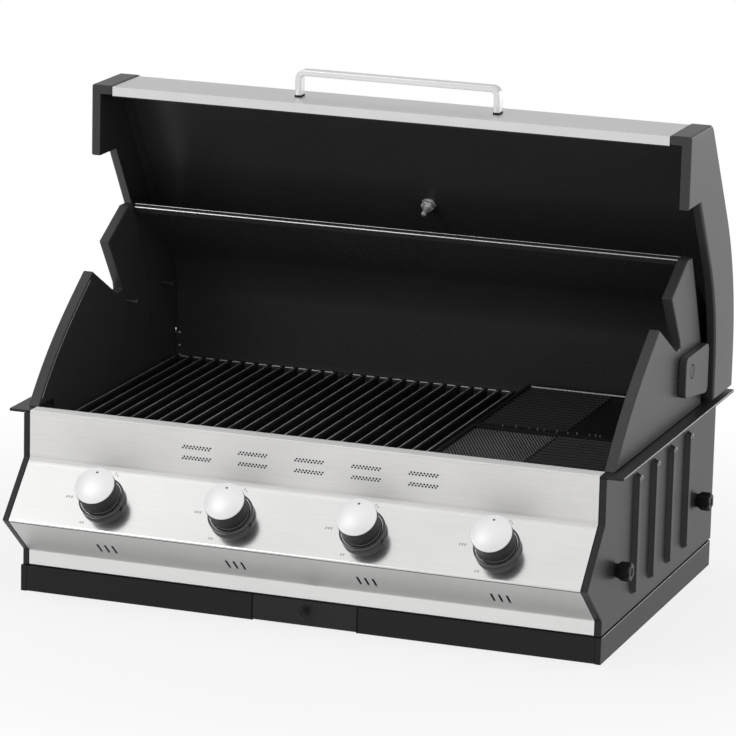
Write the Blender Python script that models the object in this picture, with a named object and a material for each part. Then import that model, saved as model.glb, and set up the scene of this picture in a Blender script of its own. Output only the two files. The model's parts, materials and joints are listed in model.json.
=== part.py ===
"""Built-in gas grill with its hood open: cabinet, four burners, grates, griddles, knobs, drawer and hood.

Metres, +Z up, the knobs face -Y. The origin is the middle of the cabinet's depth and width, on its bottom.
"""

import math

import bmesh
import bpy
from mathutils import Matrix, Vector

# Clearances and counts shared by all pieces
GAP = 0.0003
OVERRUN = 0.004
ROUND = 20
SMALL_ROUND = 10
TUBE_ROUND = 12
BEND_STEPS = 3

# Cabinet
BODY_WIDTH = 0.780
BODY_DEPTH = 0.493
SHEET = 0.0015
SIDE_THICKNESS = 0.009
SIDE_EDGE_ROUND = 0.0012
PLINTH_HEIGHT = 0.034
PLINTH_PROUD = 0.0012
PLINTH_STEP = 0.0028
PLINTH_WALL = 0.0076
PLINTH_SHORT = 0.008
PLINTH_PANEL_DEPTH = 0.012
PLINTH_SLIT = 0.0008
PLINTH_BEND = 0.002

# Control panel, from the plinth up
LOWER_STRIP = 0.021
UNDERCUT_RISE = 0.055
FACE_RISE = 0.068
UPPER_STRIP = 0.062
NOSE_DEPTH = 0.0655
PANEL_BEND = 0.0025
PANEL_SHELF = 0.024
PANEL_LIP_DROP = 0.0295
PANEL_FOOT = 0.010
SLOT_LENGTH = 0.022
SLOT_WIDTH = 0.0032
SLOT_PITCH = 0.0103
SLOTS_PER_KNOB = 3
SLOT_DROP = 0.0085
SLOT_SHIFT = 0.003

# Worktop flange
FLANGE_THICKNESS = 0.0022
FLANGE_REACH = 0.0206
FLANGE_REAR_REACH = 0.009
FLANGE_SETBACK = 0.0027
FLANGE_HEM = 0.0012
PANEL_PROUD = 0.001

# Pressed ribs on the side panels
RIB_WIDTH = 0.019
RIB_LENGTH = 0.160
RIB_HEIGHT = 0.006
RIB_FLANK = 0.004
RIB_FOOT = 0.020
RIB_PITCH = 0.076
RIB_COUNT = 4
RIB_FIRST = 0.131
RIB_SINK = 0.001

# Hand screws in the sides
SCREW_RADIUS = 0.0125
SCREW_FLUTE = 0.0011
SCREW_FLUTES = 8
SCREW_LENGTH = 0.0195
SCREW_EDGE = 0.0015
SCREW_STUD_RADIUS = 0.003
SCREW_STUD_REACH = 0.0085
SCREW_HEIGHT = 0.106
SCREW_FRONT = 0.056
SCREW_REAR = 0.416

# Firebox tub, grates and griddles
TUB_RIM_DROP = 0.0318
TUB_WALL = 0.113
TUB_FALL = 0.043
SPOUT_HALF_WIDTH = 0.050
SPOUT_FRONT = 0.060
SPOUT_DEPTH = 0.100
SPOUT_LENGTH = 0.010
LEDGE_DEPTH = 0.014
TAMER_LEDGE_DROP = 0.0485
TAMER_LEDGE_DEPTH = 0.008
RAIL_DEPTH = 0.021
RAIL_DROP = 0.018
COOK_CLEARANCE = 0.001
COOK_REAR = 0.468
BAR_PITCH = 0.0193
BARS_PER_GRATE = 13
BAR_WIDTH = 0.008
BAR_HEIGHT = 0.012
BAR_DROP = 0.0065
LUG_CLEARANCE = 0.001
END_BAR_WIDTH = 0.010
END_BAR_SET_DOWN = 0.0008
END_BAR_SLOPE = 0.005
MIDDLE_BAR_WIDTH = 0.008
MIDDLE_BAR_HEIGHT = 0.005
PIECE_SPACE = 0.0015
GRIDDLE_WIDTH = 0.240
GRIDDLE_SPLIT = 0.2385
GRIDDLE_SPACE = 0.003
GRIDDLE_UNDER = 0.0055
GRIDDLE_THICKNESS = 0.006
GRIDDLE_RIM_WIDTH = 0.005
GRIDDLE_RIM_HEIGHT = 0.004
RIDGE_PITCH = 0.0135
RIDGE_WIDTH = 0.006
RIDGE_HEIGHT = 0.003
RIDGE_SINK = 0.001

# Burners and flame tamers
BURNER_PITCH = 0.176
BURNER_COUNT = 4
BURNER_RADIUS = 0.013
BURNER_WALL = 0.0015
BURNER_SEAT = 0.0005
BURNER_MOUTH = 0.018
PORT_COUNT = 3
PORT_LENGTH = 0.060
PORT_WIDTH = 0.0015
PORT_START = 0.075
PORT_PITCH = 0.130
PORT_TILT = math.radians(38)
TAMER_HALF_WIDTH = 0.060
TAMER_RISE = 0.030
TAMER_RIDGE = 0.006
TAMER_SHEET = 0.0012
TAMER_SLOTS = 3
TAMER_SLOT_LENGTH = 0.070
TAMER_SLOT_WIDTH = 0.004

# Knobs, bezels, valve stems and gas pipe
KNOB_PLACE_SHARE = 0.522
BEZEL_RADIUS = 0.031
BEZEL_HEIGHT = 0.005
BEZEL_LIP = 0.0025
BEZEL_FLOOR = 0.0015
BEZEL_HOLE = 0.010
KNOB_TRAVEL = 0.004
KNOB_STANDOFF = 0.0017
SKIRT_RADIUS = 0.030
SKIRT_RIM = 0.0025
SKIRT_RIM_WALL = 0.002
SKIRT_SHOULDER = 0.0015
SKIRT_BODY_RADIUS = 0.0272
SKIRT_HEIGHT = 0.0229
SKIRT_ROOF = 0.010
HUB_RADIUS = 0.009
HUB_DROP = 0.008
CAP_RADIUS = 0.0262
CAP_EDGE = 0.0022
CAP_DOME = 0.0055
CAP_DOT_RADIUS = 0.0018
CAP_DOT_DEPTH = 0.0008
CAP_DOT_PLACE = 0.0168
STEM_RADIUS = 0.004
STEM_FLAT = 0.001
STEM_BELOW = 0.030
STEM_IN_KNOB = 0.012
STEM_HOLE = 0.006
VALVE_RADIUS = 0.012
VALVE_LENGTH = 0.048
MANIFOLD_RADIUS = 0.010
MANIFOLD_DROP = 0.055
INJECTOR_RADIUS = 0.004
INJECTOR_INTO_BURNER = 0.004
INLET_PIPE_RADIUS = 0.006
INLET_FROM_SIDE = 0.050
INLET_DROP = 0.030
INLET_BEND = 0.018
INLET_TAIL = 0.022
INLET_NUT_RADIUS = 0.011
INLET_NUT_LENGTH = 0.012

# Grease drawer
DRAWER_HALF_WIDTH = 0.0705
DRAWER_TRAY_INSET = 0.008
DRAWER_LENGTH = 0.300
DRAWER_TRAY_HEIGHT = 0.022
DRAWER_SHEET = 0.0012
DRAWER_KNOB_HEIGHT = 0.020
DRAWER_KNOB_RADIUS = 0.0062
DRAWER_KNOB_FACE = 0.0043
DRAWER_KNOB_NECK = 0.0034
DRAWER_KNOB_STAND = 0.007
DRAWER_KNOB_HEAD = 0.0055
DRAWER_PEG_RADIUS = 0.0022
DRAWER_PEG_LENGTH = 0.004

# Cheeks, the double-walled sides of the cooking chamber
CHEEK_THICKNESS = 0.0144
CHEEK_SETBACK = 0.0107
CHEEK_FOOT = 0.027
CHEEK_EDGE_ROUND = 0.0012
CHEEK_TONGUE = 0.0014
CHEEK_TONGUE_DROP = 0.045
PEAK_BACK = 0.196
PEAK_HEIGHT = 0.1435
NOTCH_BACK = 0.279
NOTCH_HEIGHT = 0.097
SEAT_BACK = 0.2945
SEAT_HEIGHT = 0.0995
SEAT_TOP_BACK = 0.292
SEAT_TOP_HEIGHT = 0.1085
KNEE_BACK = 0.2465
KNEE_HEIGHT = 0.1730
CREST_FRONT = 0.314
CREST_REAR = 0.344
CREST_HEIGHT = 0.2095
CORNER_ROUND = 0.004
OUTER_WALL_TOP = 0.335
OUTER_WALL_BEND = 0.390
OUTER_WALL_BEND_HEIGHT = 0.089
OUTER_WALL_FOOT = 0.402
WALL_START = 0.310
PIN_BACKS = (0.308, 0.432)
PIN_HEIGHT = 0.081
PIN_RADIUS = 0.0025
PIN_HEAD_RADIUS = 0.004
PIN_LENGTH = 0.017
PIN_HEAD = 0.003

# Back panel and its trim
BACK_INSET = 0.0075
BACK_CURVE_RADIUS = 0.080
BACK_CURVE_START = 0.060
BACK_SLOPE = math.radians(34.5)
BACK_REACH = 0.150
BACK_STEPS = 6
TRIM_HALF = 0.0036
TRIM_DEPTH = 0.008
TRIM_LIP = 0.0024
TRIM_GROOVE = 0.0018
TRIM_EDGE = 0.0007
VENT_COUNT = 6
VENT_LENGTH = 0.045
VENT_WIDTH = 0.005
VENT_PITCH = 0.080
VENT_HEIGHT = 0.175

# Hood, drawn closed around its hinge and shown open
HINGE_BACK = 0.316
HINGE_HEIGHT = 0.065
HOOD_OPENING = math.radians(90)
HOOD_SETBACK = 0.0015
HOOD_LIP_CLEARANCE = 0.004
HOOD_CROWN = 0.1805
HOOD_CROWN_RADIUS = 0.350
HOOD_CROWN_START = 0.0106
HOOD_SLOPE = math.radians(33)
HOOD_NOSE_RADIUS = 0.018
HOOD_TAIL = 0.058
HOOD_SHEET = 0.0012
HOOD_LIP_RETURN = 0.012
HOOD_TAIL_RETURN = 0.005
HOOD_BEND = 0.002
CROWN_STEPS = 10
CAP_REACH = 0.0188
CAP_WIDTH = 0.0287
CAP_PLATE = 0.0125
CAP_PROUD = 0.0015
CAP_BAND = 0.089
CAP_RIM = 0.012
CAP_FRONT_DEPTH = 0.0945
CAP_EDGE_ROUND = 0.002
LINER_SHEET = 0.001
LINER_SPACE = 0.0113
LINER_TAIL_SPACE = 0.0040
LINER_STEP_BACK = 0.030
LINER_STEP = 0.0002
LINER_LEG = 0.0225
LINER_LEG_CLEARANCE = 0.0004
LINER_LEG_FRONT = 0.292
LINER_LEG_BACK = 0.035

# Hinge arms and bolts
ARM_THICKNESS = 0.0105
ARM_STRAP = 0.002
ARM_TOE = 0.028
ARM_FRONT = 0.022
ARM_TOE_REAR = 0.030
ARM_PAD_REAR = 0.045
ARM_PAD_END = 0.077
ARM_ROOT = 0.118
ARM_CORNER = 0.008
ARM_CHAMFER = 0.0008
BOLT_RADIUS = 0.005
BOLT_HEAD_RADIUS = 0.0088
BOLT_HEAD = 0.0025
BOLT_RECESS = 0.0030
BOLT_RECESS_RADIUS = 0.010
BOLT_BLIND = 0.003

# Handle and thermometer on the hood
HANDLE_SPAN = 0.280
HANDLE_HEIGHT = 0.036
HANDLE_THICKNESS = 0.008
HANDLE_WIDTH = 0.016
HANDLE_BEND = 0.011
HANDLE_PLACE = 0.012
HANDLE_STEPS = 5
GAUGE_PLACE = 0.166
GAUGE_RADIUS = 0.026
GAUGE_HEIGHT = 0.010
GAUGE_RIM = 0.003
GAUGE_RIM_TOP = 0.0024
GAUGE_DISH = 0.002
GAUGE_STEM_RADIUS = 0.006
GAUGE_NUT_RADIUS = 0.011
GAUGE_NUT = 0.006
PROBE_RADIUS = 0.0025
PROBE_LENGTH = 0.022

# Places worked out from the sizes
FASCIA_Y = -BODY_DEPTH / 2
BACK_Y = BODY_DEPTH / 2
HALF_WIDTH = BODY_WIDTH / 2
SIDE_INNER = HALF_WIDTH - SIDE_THICKNESS
FOOT_Z = PLINTH_HEIGHT + GAP
UNDERCUT_Z = PLINTH_HEIGHT + LOWER_STRIP
NOSE_Z = UNDERCUT_Z + UNDERCUT_RISE
FACE_TOP_Z = NOSE_Z + FACE_RISE
PANEL_TOP_Z = FACE_TOP_Z + UPPER_STRIP
FLANGE_TOP_Z = PANEL_TOP_Z - PANEL_PROUD
SIDE_TOP_Z = FLANGE_TOP_Z - FLANGE_THICKNESS - GAP
FACE_TILT = math.atan2(FACE_RISE, NOSE_DEPTH)
KNOB_Y = FASCIA_Y - NOSE_DEPTH * KNOB_PLACE_SHARE
KNOB_Z = FACE_TOP_Z - FACE_RISE * KNOB_PLACE_SHARE
TUB_RIM_Z = PANEL_TOP_Z - TUB_RIM_DROP
CHEEK_INNER = HALF_WIDTH - CHEEK_SETBACK
CHEEK_OUTER = CHEEK_INNER + CHEEK_THICKNESS
INLET_PLACE = HALF_WIDTH - INLET_FROM_SIDE
TUB_HALF = CHEEK_INNER - GAP
TUB_FRONT_Y = FASCIA_Y + PANEL_SHELF + GAP
BACK_OUTER_Y = BACK_Y - BACK_INSET
BACK_INNER_Y = BACK_OUTER_Y - SHEET
TUB_BACK_Y = BACK_INNER_Y - GAP
TUB_WALL_FOOT_Z = TUB_RIM_Z - TUB_WALL
COOK_Z = TUB_RIM_Z + GAP
COOK_HALF = TUB_HALF - SHEET - COOK_CLEARANCE
COOK_FRONT_Y = TUB_FRONT_Y + SHEET + COOK_CLEARANCE
COOK_BACK_Y = FASCIA_Y + COOK_REAR
TAMER_BACK_Y = TUB_BACK_Y - 2 * SHEET - 2 * GAP - COOK_CLEARANCE
HINGE_Y = FASCIA_Y + HINGE_BACK
HINGE_Z = FLANGE_TOP_Z + HINGE_HEIGHT
HOOD_REACH = HINGE_BACK - HOOD_SETBACK
LIP_DROP = HINGE_HEIGHT - HOOD_LIP_CLEARANCE
CAP_OUTER = HALF_WIDTH + CAP_REACH
CAP_INNER = CAP_OUTER - CAP_PLATE
CAP_RIM_INNER = CAP_OUTER - CAP_WIDTH


# Helpers for outlines


def direction(a, b):
    """Unit vector from a to b."""
    return (Vector(b) - Vector(a)).normalized()


def fillet(before, corner, after, radius, steps):
    """Points of the arc that rounds one corner of a path."""
    into = direction(corner, before)
    out = direction(corner, after)
    half = into.angle(out) / 2
    reach = radius / math.tan(half)
    centre = Vector(corner) + (into + out).normalized() * (radius / math.sin(half))
    start = Vector(corner) + into * reach - centre
    end = Vector(corner) + out * reach - centre
    turn = start.angle(end)
    points = []
    for step in range(steps + 1):
        share = step / steps
        low = math.sin((1 - share) * turn) / math.sin(turn)
        high = math.sin(share * turn) / math.sin(turn)
        points.append(tuple(centre + start * low + end * high))
    return points


def rounded(path, radius, steps=BEND_STEPS):
    """An open path with each inner corner rounded."""
    points = [tuple(path[0])]
    for before, corner, after in zip(path, path[1:], path[2:]):
        points += fillet(before, corner, after, radius, steps)
    points.append(tuple(path[-1]))
    return points


def rounded_ring(path, radius, steps=BEND_STEPS):
    """A closed outline with every corner rounded."""
    points = []
    for index, corner in enumerate(path):
        before = path[index - 1]
        after = path[(index + 1) % len(path)]
        points += fillet(before, corner, after, radius, steps)
    return points


def left_of(a, b):
    along = direction(a, b)
    return Vector((-along.y, along.x))


def shifted(path, distance, closed=False):
    """The path moved to its left by the distance, with its corners mitred."""
    points = []
    last = len(path) - 1
    for index, point in enumerate(path):
        before = path[index - 1] if index or closed else None
        after = path[(index + 1) % len(path)] if index < last or closed else None
        sides = []
        if before is not None:
            sides.append(left_of(before, point))
        if after is not None:
            sides.append(left_of(point, after))
        mean = sum(sides, Vector((0, 0))).normalized()
        points.append(tuple(Vector(point) + mean * (distance / mean.dot(sides[0]))))
    return points


def signed_area(ring):
    pairs = zip(ring, ring[1:] + ring[:1])
    return sum(a[0] * b[1] - b[0] * a[1] for a, b in pairs) / 2


def inset(ring, distance):
    """A closed outline moved inwards."""
    return shifted(ring, distance if signed_area(ring) > 0 else -distance, closed=True)


def sheet_ring(path, thickness):
    """The closed outline of a bent sheet, with its thickness to the left of the path."""
    return list(path) + list(reversed(shifted(path, thickness)))


def rectangle(low_a, high_a, low_b, high_b):
    return [(low_a, low_b), (high_a, low_b), (high_a, high_b), (low_a, high_b)]


def circle(centre, radius, count):
    points = []
    for step in range(count):
        turn = math.tau * step / count
        points.append((centre[0] + radius * math.cos(turn), centre[1] + radius * math.sin(turn)))
    return points


def stadium(length, width, steps=4):
    """A slot shape round the origin, its length along the first axis."""
    points = []
    reach = (length - width) / 2
    for end in (1, -1):
        for step in range(steps + 1):
            turn = math.pi * (step / steps - 0.5)
            points.append((end * (reach + width / 2 * math.cos(turn)), end * width / 2 * math.sin(turn)))
    return points


# Helpers for meshes and objects


def new_object(name, bm, material=None):
    bmesh.ops.recalc_face_normals(bm, faces=bm.faces)
    mesh = bpy.data.meshes.new(name)
    bm.to_mesh(mesh)
    bm.free()
    obj = bpy.data.objects.new(name, mesh)
    bpy.context.collection.objects.link(obj)
    if material is not None:
        mesh.materials.append(material)
    return obj


def add_loops(bm, loops, capped=True, ring=False):
    """Joins loops of equal length by quads, and caps or closes their ends."""
    rows = [[bm.verts.new(point) for point in loop] for loop in loops]
    pairs = list(zip(rows, rows[1:]))
    if ring:
        pairs.append((rows[-1], rows[0]))
    for low, high in pairs:
        for index in range(len(low)):
            after = (index + 1) % len(low)
            bm.faces.new((low[index], low[after], high[after], high[index]))
    if capped and not ring:
        bm.faces.new(rows[0])
        bm.faces.new(rows[-1])


def solid(name, loops, material=None, ring=False):
    bm = bmesh.new()
    add_loops(bm, loops, ring=ring)
    return new_object(name, bm, material)


def solids(name, groups, material=None):
    """Several separate closed shapes in one helper mesh."""
    bm = bmesh.new()
    for loops in groups:
        add_loops(bm, loops)
    return new_object(name, bm, material)


def along_x(ring, x):
    return [(x, a, b) for a, b in ring]


def along_y(ring, y):
    return [(a, y, b) for a, b in ring]


def along_z(ring, z):
    return [(a, b, z) for a, b in ring]


def prism(ring, low, high, lay, edge=0):
    """Loops of a prism over an outline, its two rims drawn in by the edge rounding."""
    if not edge:
        return [lay(ring, low), lay(ring, high)]
    small = inset(ring, edge)
    return [lay(small, low), lay(ring, low + edge), lay(ring, high - edge), lay(small, high)]


def box(low, high):
    ring = rectangle(low[0], high[0], low[1], high[1])
    return [along_z(ring, low[2]), along_z(ring, high[2])]


def turned(name, profile, material=None, count=ROUND):
    """A shape turned about Z from (radius, height) points; a profile off the axis is a ring."""
    bm = bmesh.new()
    rows = []
    for radius, height in profile:
        if radius == 0:
            rows.append([bm.verts.new((0, 0, height))] * count)
        else:
            rows.append([bm.verts.new((a, b, height)) for a, b in circle((0, 0), radius, count)])
    pairs = list(zip(rows, rows[1:]))
    if profile[0][0] and profile[-1][0]:
        pairs.append((rows[-1], rows[0]))
    for low, high in pairs:
        for index in range(count):
            after = (index + 1) % count
            corners = [low[index], low[after], high[after], high[index]]
            unique = [vert for place, vert in enumerate(corners) if vert not in corners[:place]]
            bm.faces.new(unique)
    return new_object(name, bm, material)


def swept_in_yz(x, path, radius, count):
    """Loops of a round pipe along a path in a plane of constant X."""
    loops = []
    for index, point in enumerate(path):
        before = path[max(index - 1, 0)]
        after = path[min(index + 1, len(path) - 1)]
        side = left_of(before, after)
        loop = []
        for across, up in circle((0, 0), radius, count):
            place = Vector(point) + side * up
            loop.append((x + across, place.x, place.y))
        loops.append(loop)
    return loops


def combine(obj, helper, operation):
    modifier = obj.modifiers.new(helper.name, "BOOLEAN")
    modifier.operation = operation
    modifier.solver = "EXACT"
    modifier.object = helper
    helper.hide_render = True
    helper.display_type = "WIRE"


def cut(obj, helper):
    combine(obj, helper, "DIFFERENCE")


def join(obj, helper):
    combine(obj, helper, "UNION")


def smooth(obj, angle=math.radians(40)):
    obj.data.shade_smooth()
    obj.data.set_sharp_from_angle(angle=angle)


def frame(name, place, turn=0):
    """An empty on a joint's axis, turned about X."""
    empty = bpy.data.objects.new(name, None)
    bpy.context.collection.objects.link(empty)
    empty.location = place
    empty.rotation_euler = (turn, 0, 0)
    return empty


def paint(name, colour, roughness, metallic=0.0):
    material = bpy.data.materials.new(name)
    material.use_nodes = True
    shader = material.node_tree.nodes["Principled BSDF"]
    shader.inputs["Base Color"].default_value = (*colour, 1.0)
    shader.inputs["Roughness"].default_value = roughness
    shader.inputs["Metallic"].default_value = metallic
    material.diffuse_color = (*colour, 1.0)
    return material


# Outlines that several pieces share


def nose_path(top_z, foot_z):
    """The front outline of the cabinet, from its top edge to its foot, as (y, z)."""
    return [
        (FASCIA_Y, top_z),
        (FASCIA_Y, FACE_TOP_Z),
        (FASCIA_Y - NOSE_DEPTH, NOSE_Z),
        (FASCIA_Y, UNDERCUT_Z),
        (FASCIA_Y, foot_z),
    ]


def back_path(foot_z):
    """The inner face of the back panel, from its foot to the trim, as (y, z)."""
    start_z = FLANGE_TOP_Z + BACK_CURVE_START
    centre_y = BACK_INNER_Y - BACK_CURVE_RADIUS
    path = [(BACK_INNER_Y, foot_z)]
    for step in range(BACK_STEPS + 1):
        turn = (math.pi / 2 - BACK_SLOPE) * step / BACK_STEPS
        path.append((
            centre_y + BACK_CURVE_RADIUS * math.cos(turn),
            start_z + BACK_CURVE_RADIUS * math.sin(turn),
        ))
    top_y = BACK_INNER_Y - BACK_REACH
    rise = (path[-1][0] - top_y) * math.tan(BACK_SLOPE)
    path.append((top_y, path[-1][1] + rise))
    return path


def crown_path(reach, crown, radius, tail, foot):
    """The closed hood's outline round its hinge, from the front foot over the crown to the tail."""
    arc = []
    for step in range(CROWN_STEPS + 1):
        turn = HOOD_SLOPE * (1 - step / CROWN_STEPS)
        arc.append((
            HOOD_CROWN_START - radius * math.sin(turn),
            crown - radius + radius * math.cos(turn),
        ))
    corner_z = arc[0][1] - (arc[0][0] + reach) * math.tan(HOOD_SLOPE)
    nose = fillet((-reach, foot), (-reach, corner_z), arc[0], HOOD_NOSE_RADIUS, BEND_STEPS + 1)
    return [(-reach, foot)] + nose + arc + [(tail, crown)]


def skin_path(depth=0.0):
    """The hood skin's outer face, or a face at a depth below it."""
    return crown_path(
        HOOD_REACH - depth,
        HOOD_CROWN - depth,
        HOOD_CROWN_RADIUS - depth,
        HOOD_TAIL,
        -LIP_DROP,
    )


# Cabinet


def rib_loops(side, place_y):
    """One pressed rib, a long mound with round ends, standing out of a side panel."""
    centre_z = FOOT_Z + RIB_FOOT + RIB_LENGTH / 2
    base = [(place_y + b, centre_z + a) for a, b in stadium(RIB_LENGTH, RIB_WIDTH)]
    crest_shape = stadium(RIB_LENGTH - 2 * RIB_FLANK, RIB_WIDTH - 2 * RIB_FLANK)
    crest = [(place_y + b, centre_z + a) for a, b in crest_shape]
    return [
        along_x(base, side * (HALF_WIDTH - RIB_SINK)),
        along_x(base, side * HALF_WIDTH),
        along_x(crest, side * (HALF_WIDTH + RIB_HEIGHT)),
    ]


def screw_places():
    for back in (SCREW_FRONT, SCREW_REAR):
        yield FASCIA_Y + back


def side_panel(name, side, material):
    ring = nose_path(SIDE_TOP_Z, FOOT_Z) + [(BACK_Y, FOOT_Z), (BACK_Y, SIDE_TOP_Z)]
    loops = prism(ring, SIDE_INNER, HALF_WIDTH, along_x, SIDE_EDGE_ROUND)
    loops = [[(side * x, y, z) for x, y, z in loop] for loop in loops]
    panel = solid(name, loops, material)
    ribs = [rib_loops(side, FASCIA_Y + RIB_FIRST + RIB_PITCH * index) for index in range(RIB_COUNT)]
    join(panel, solids("ribs_" + name, ribs))
    holes = []
    for place_y in screw_places():
        ring = circle((place_y, SCREW_HEIGHT), SCREW_STUD_RADIUS + GAP, SMALL_ROUND)
        holes.append([
            along_x(ring, side * (SIDE_INNER - OVERRUN)),
            along_x(ring, side * (HALF_WIDTH + OVERRUN)),
        ])
    cut(panel, solids("holes_" + name, holes))
    return panel


def base_tray(material):
    half = HALF_WIDTH + PLINTH_PROUD
    front = FASCIA_Y - PLINTH_STEP
    back = BACK_Y - PLINTH_SHORT
    ring = [
        (-half, front),
        (-half, back),
        (half, back),
        (half, front),
        (half - PLINTH_WALL, front),
        (half - PLINTH_WALL, back - SHEET),
        (-half + PLINTH_WALL, back - SHEET),
        (-half + PLINTH_WALL, front),
    ]
    tray = solid("base_tray", prism(ring, 0, PLINTH_HEIGHT, along_z), material)
    floor = box((-half + SHEET, front + PLINTH_PANEL_DEPTH, 0), (half - SHEET, back - GAP, SHEET))
    join(tray, solids("base_floor", [floor]))
    return tray


def plinth_panel(name, side, material):
    """A folded cover strip between a corner post and the drawer."""
    front = FASCIA_Y - PLINTH_STEP
    top = PLINTH_HEIGHT
    path = [
        (front + PLINTH_PANEL_DEPTH - GAP, top),
        (front, top),
        (front, 0),
        (front + PLINTH_PANEL_DEPTH - GAP, 0),
    ]
    ring = sheet_ring(rounded(path, PLINTH_BEND), SHEET)
    near = DRAWER_HALF_WIDTH + PLINTH_SLIT
    far = HALF_WIDTH + PLINTH_PROUD - PLINTH_WALL - GAP
    return solid(name, [along_x(ring, side * near), along_x(ring, side * far)], material)


def cabinet_back(material):
    half = SIDE_INNER - GAP
    plate = solid(
        "cabinet_back",
        box((-half, BACK_Y - SHEET, FOOT_Z), (half, BACK_Y, SIDE_TOP_Z)),
        material,
    )
    vents = []
    for index in range(VENT_COUNT):
        centre_x = (index - (VENT_COUNT - 1) / 2) * VENT_PITCH
        ring = [(centre_x + a, VENT_HEIGHT + b) for a, b in stadium(VENT_LENGTH, VENT_WIDTH, 2)]
        vents.append([along_y(ring, BACK_Y - SHEET - OVERRUN), along_y(ring, BACK_Y + OVERRUN)])
    ring = circle((INLET_PLACE, inlet_z()), INLET_PIPE_RADIUS + GAP, SMALL_ROUND)
    vents.append([along_y(ring, BACK_Y - SHEET - OVERRUN), along_y(ring, BACK_Y + OVERRUN)])
    cut(plate, solids("cabinet_back_vents", vents))
    return plate


def control_panel(material):
    shelf_y = FASCIA_Y + PANEL_SHELF
    path = [(shelf_y, PANEL_TOP_Z - PANEL_LIP_DROP), (shelf_y, PANEL_TOP_Z)]
    path += nose_path(PANEL_TOP_Z, FOOT_Z)
    path.append((FASCIA_Y + PANEL_FOOT, FOOT_Z))
    ring = sheet_ring(rounded(path, PANEL_BEND), SHEET)
    half = SIDE_INNER - GAP
    panel = solid("control_panel", [along_x(ring, -half), along_x(ring, half)], material)
    holes = []
    for centre_x in knob_places():
        bore = circle((centre_x, 0), STEM_HOLE, SMALL_ROUND)
        holes.append([
            [face_point(x, y, -SHEET - OVERRUN) for x, y in bore],
            [face_point(x, y, OVERRUN) for x, y in bore],
        ])
        for number in range(SLOTS_PER_KNOB):
            shift = SLOT_SHIFT + (number - (SLOTS_PER_KNOB - 1) / 2) * SLOT_PITCH
            holes.append(slot_loops(centre_x + shift))
    cut(panel, solids("control_panel_holes", holes))
    return panel


def slot_loops(centre_x):
    """A drain slot that runs down the undercut face."""
    down = direction((FASCIA_Y - NOSE_DEPTH, NOSE_Z), (FASCIA_Y, UNDERCUT_Z))
    outward = Vector((down.y, -down.x))
    middle = Vector((FASCIA_Y - NOSE_DEPTH / 2, (NOSE_Z + UNDERCUT_Z) / 2))
    loops = []
    for depth in (-SHEET - OVERRUN, OVERRUN):
        loop = []
        for a, b in rectangle(-SLOT_LENGTH / 2, SLOT_LENGTH / 2, -SLOT_WIDTH / 2, SLOT_WIDTH / 2):
            place = middle + down * (SLOT_DROP + a) + outward * depth
            loop.append((centre_x + b, place.x, place.y))
        loops.append(loop)
    return loops


def worktop_flange(material):
    """A flat U with a folded hem, which carries the grill on the edges of the worktop cut-out."""
    outer = HALF_WIDTH + FLANGE_REACH
    front = FASCIA_Y + FLANGE_SETBACK
    back = BACK_Y + FLANGE_REAR_REACH
    inner_back = BACK_OUTER_Y + GAP
    ring = [
        (-outer, front),
        (-SIDE_INNER, front),
        (-SIDE_INNER, inner_back),
        (SIDE_INNER, inner_back),
        (SIDE_INNER, front),
        (outer, front),
        (outer, back),
        (-outer, back),
    ]
    low = SIDE_TOP_Z + GAP
    flange = solid("worktop_flange", prism(ring, low, FLANGE_TOP_Z, along_z), material)
    clear = HALF_WIDTH + GAP
    hem = [
        (-outer, front),
        (-clear, front),
        (-clear, BACK_Y + GAP),
        (clear, BACK_Y + GAP),
        (clear, front),
        (outer, front),
        (outer, back),
        (-outer, back),
    ]
    join(flange, solids("flange_hem", [prism(hem, low - FLANGE_HEM, low + GAP, along_z)]))
    return flange


def hand_screw(name, side, place_y, material):
    ring = []
    for step in range(2 * SCREW_FLUTES):
        turn = math.pi * step / SCREW_FLUTES
        radius = SCREW_RADIUS - SCREW_FLUTE * (step % 2)
        ring.append((radius * math.cos(turn), radius * math.sin(turn)))
    low = HALF_WIDTH + GAP
    loops = prism(ring, low, low + SCREW_LENGTH, along_x, SCREW_EDGE)
    pivot = frame(name + "_axis", (side * HALF_WIDTH, place_y, SCREW_HEIGHT))
    loops = [[(side * (x - HALF_WIDTH), y, z) for x, y, z in loop] for loop in loops]
    head = solid(name, loops, material)
    stud = circle((0, 0), SCREW_STUD_RADIUS, SMALL_ROUND)
    inner = -side * SCREW_STUD_REACH
    shank = solids("stud_" + name, [[along_x(stud, inner), along_x(stud, side * SCREW_LENGTH / 2)]])
    for piece in (head, shank):
        piece.parent = pivot
    join(head, shank)
    smooth(head)
    return head


# Firebox


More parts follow.
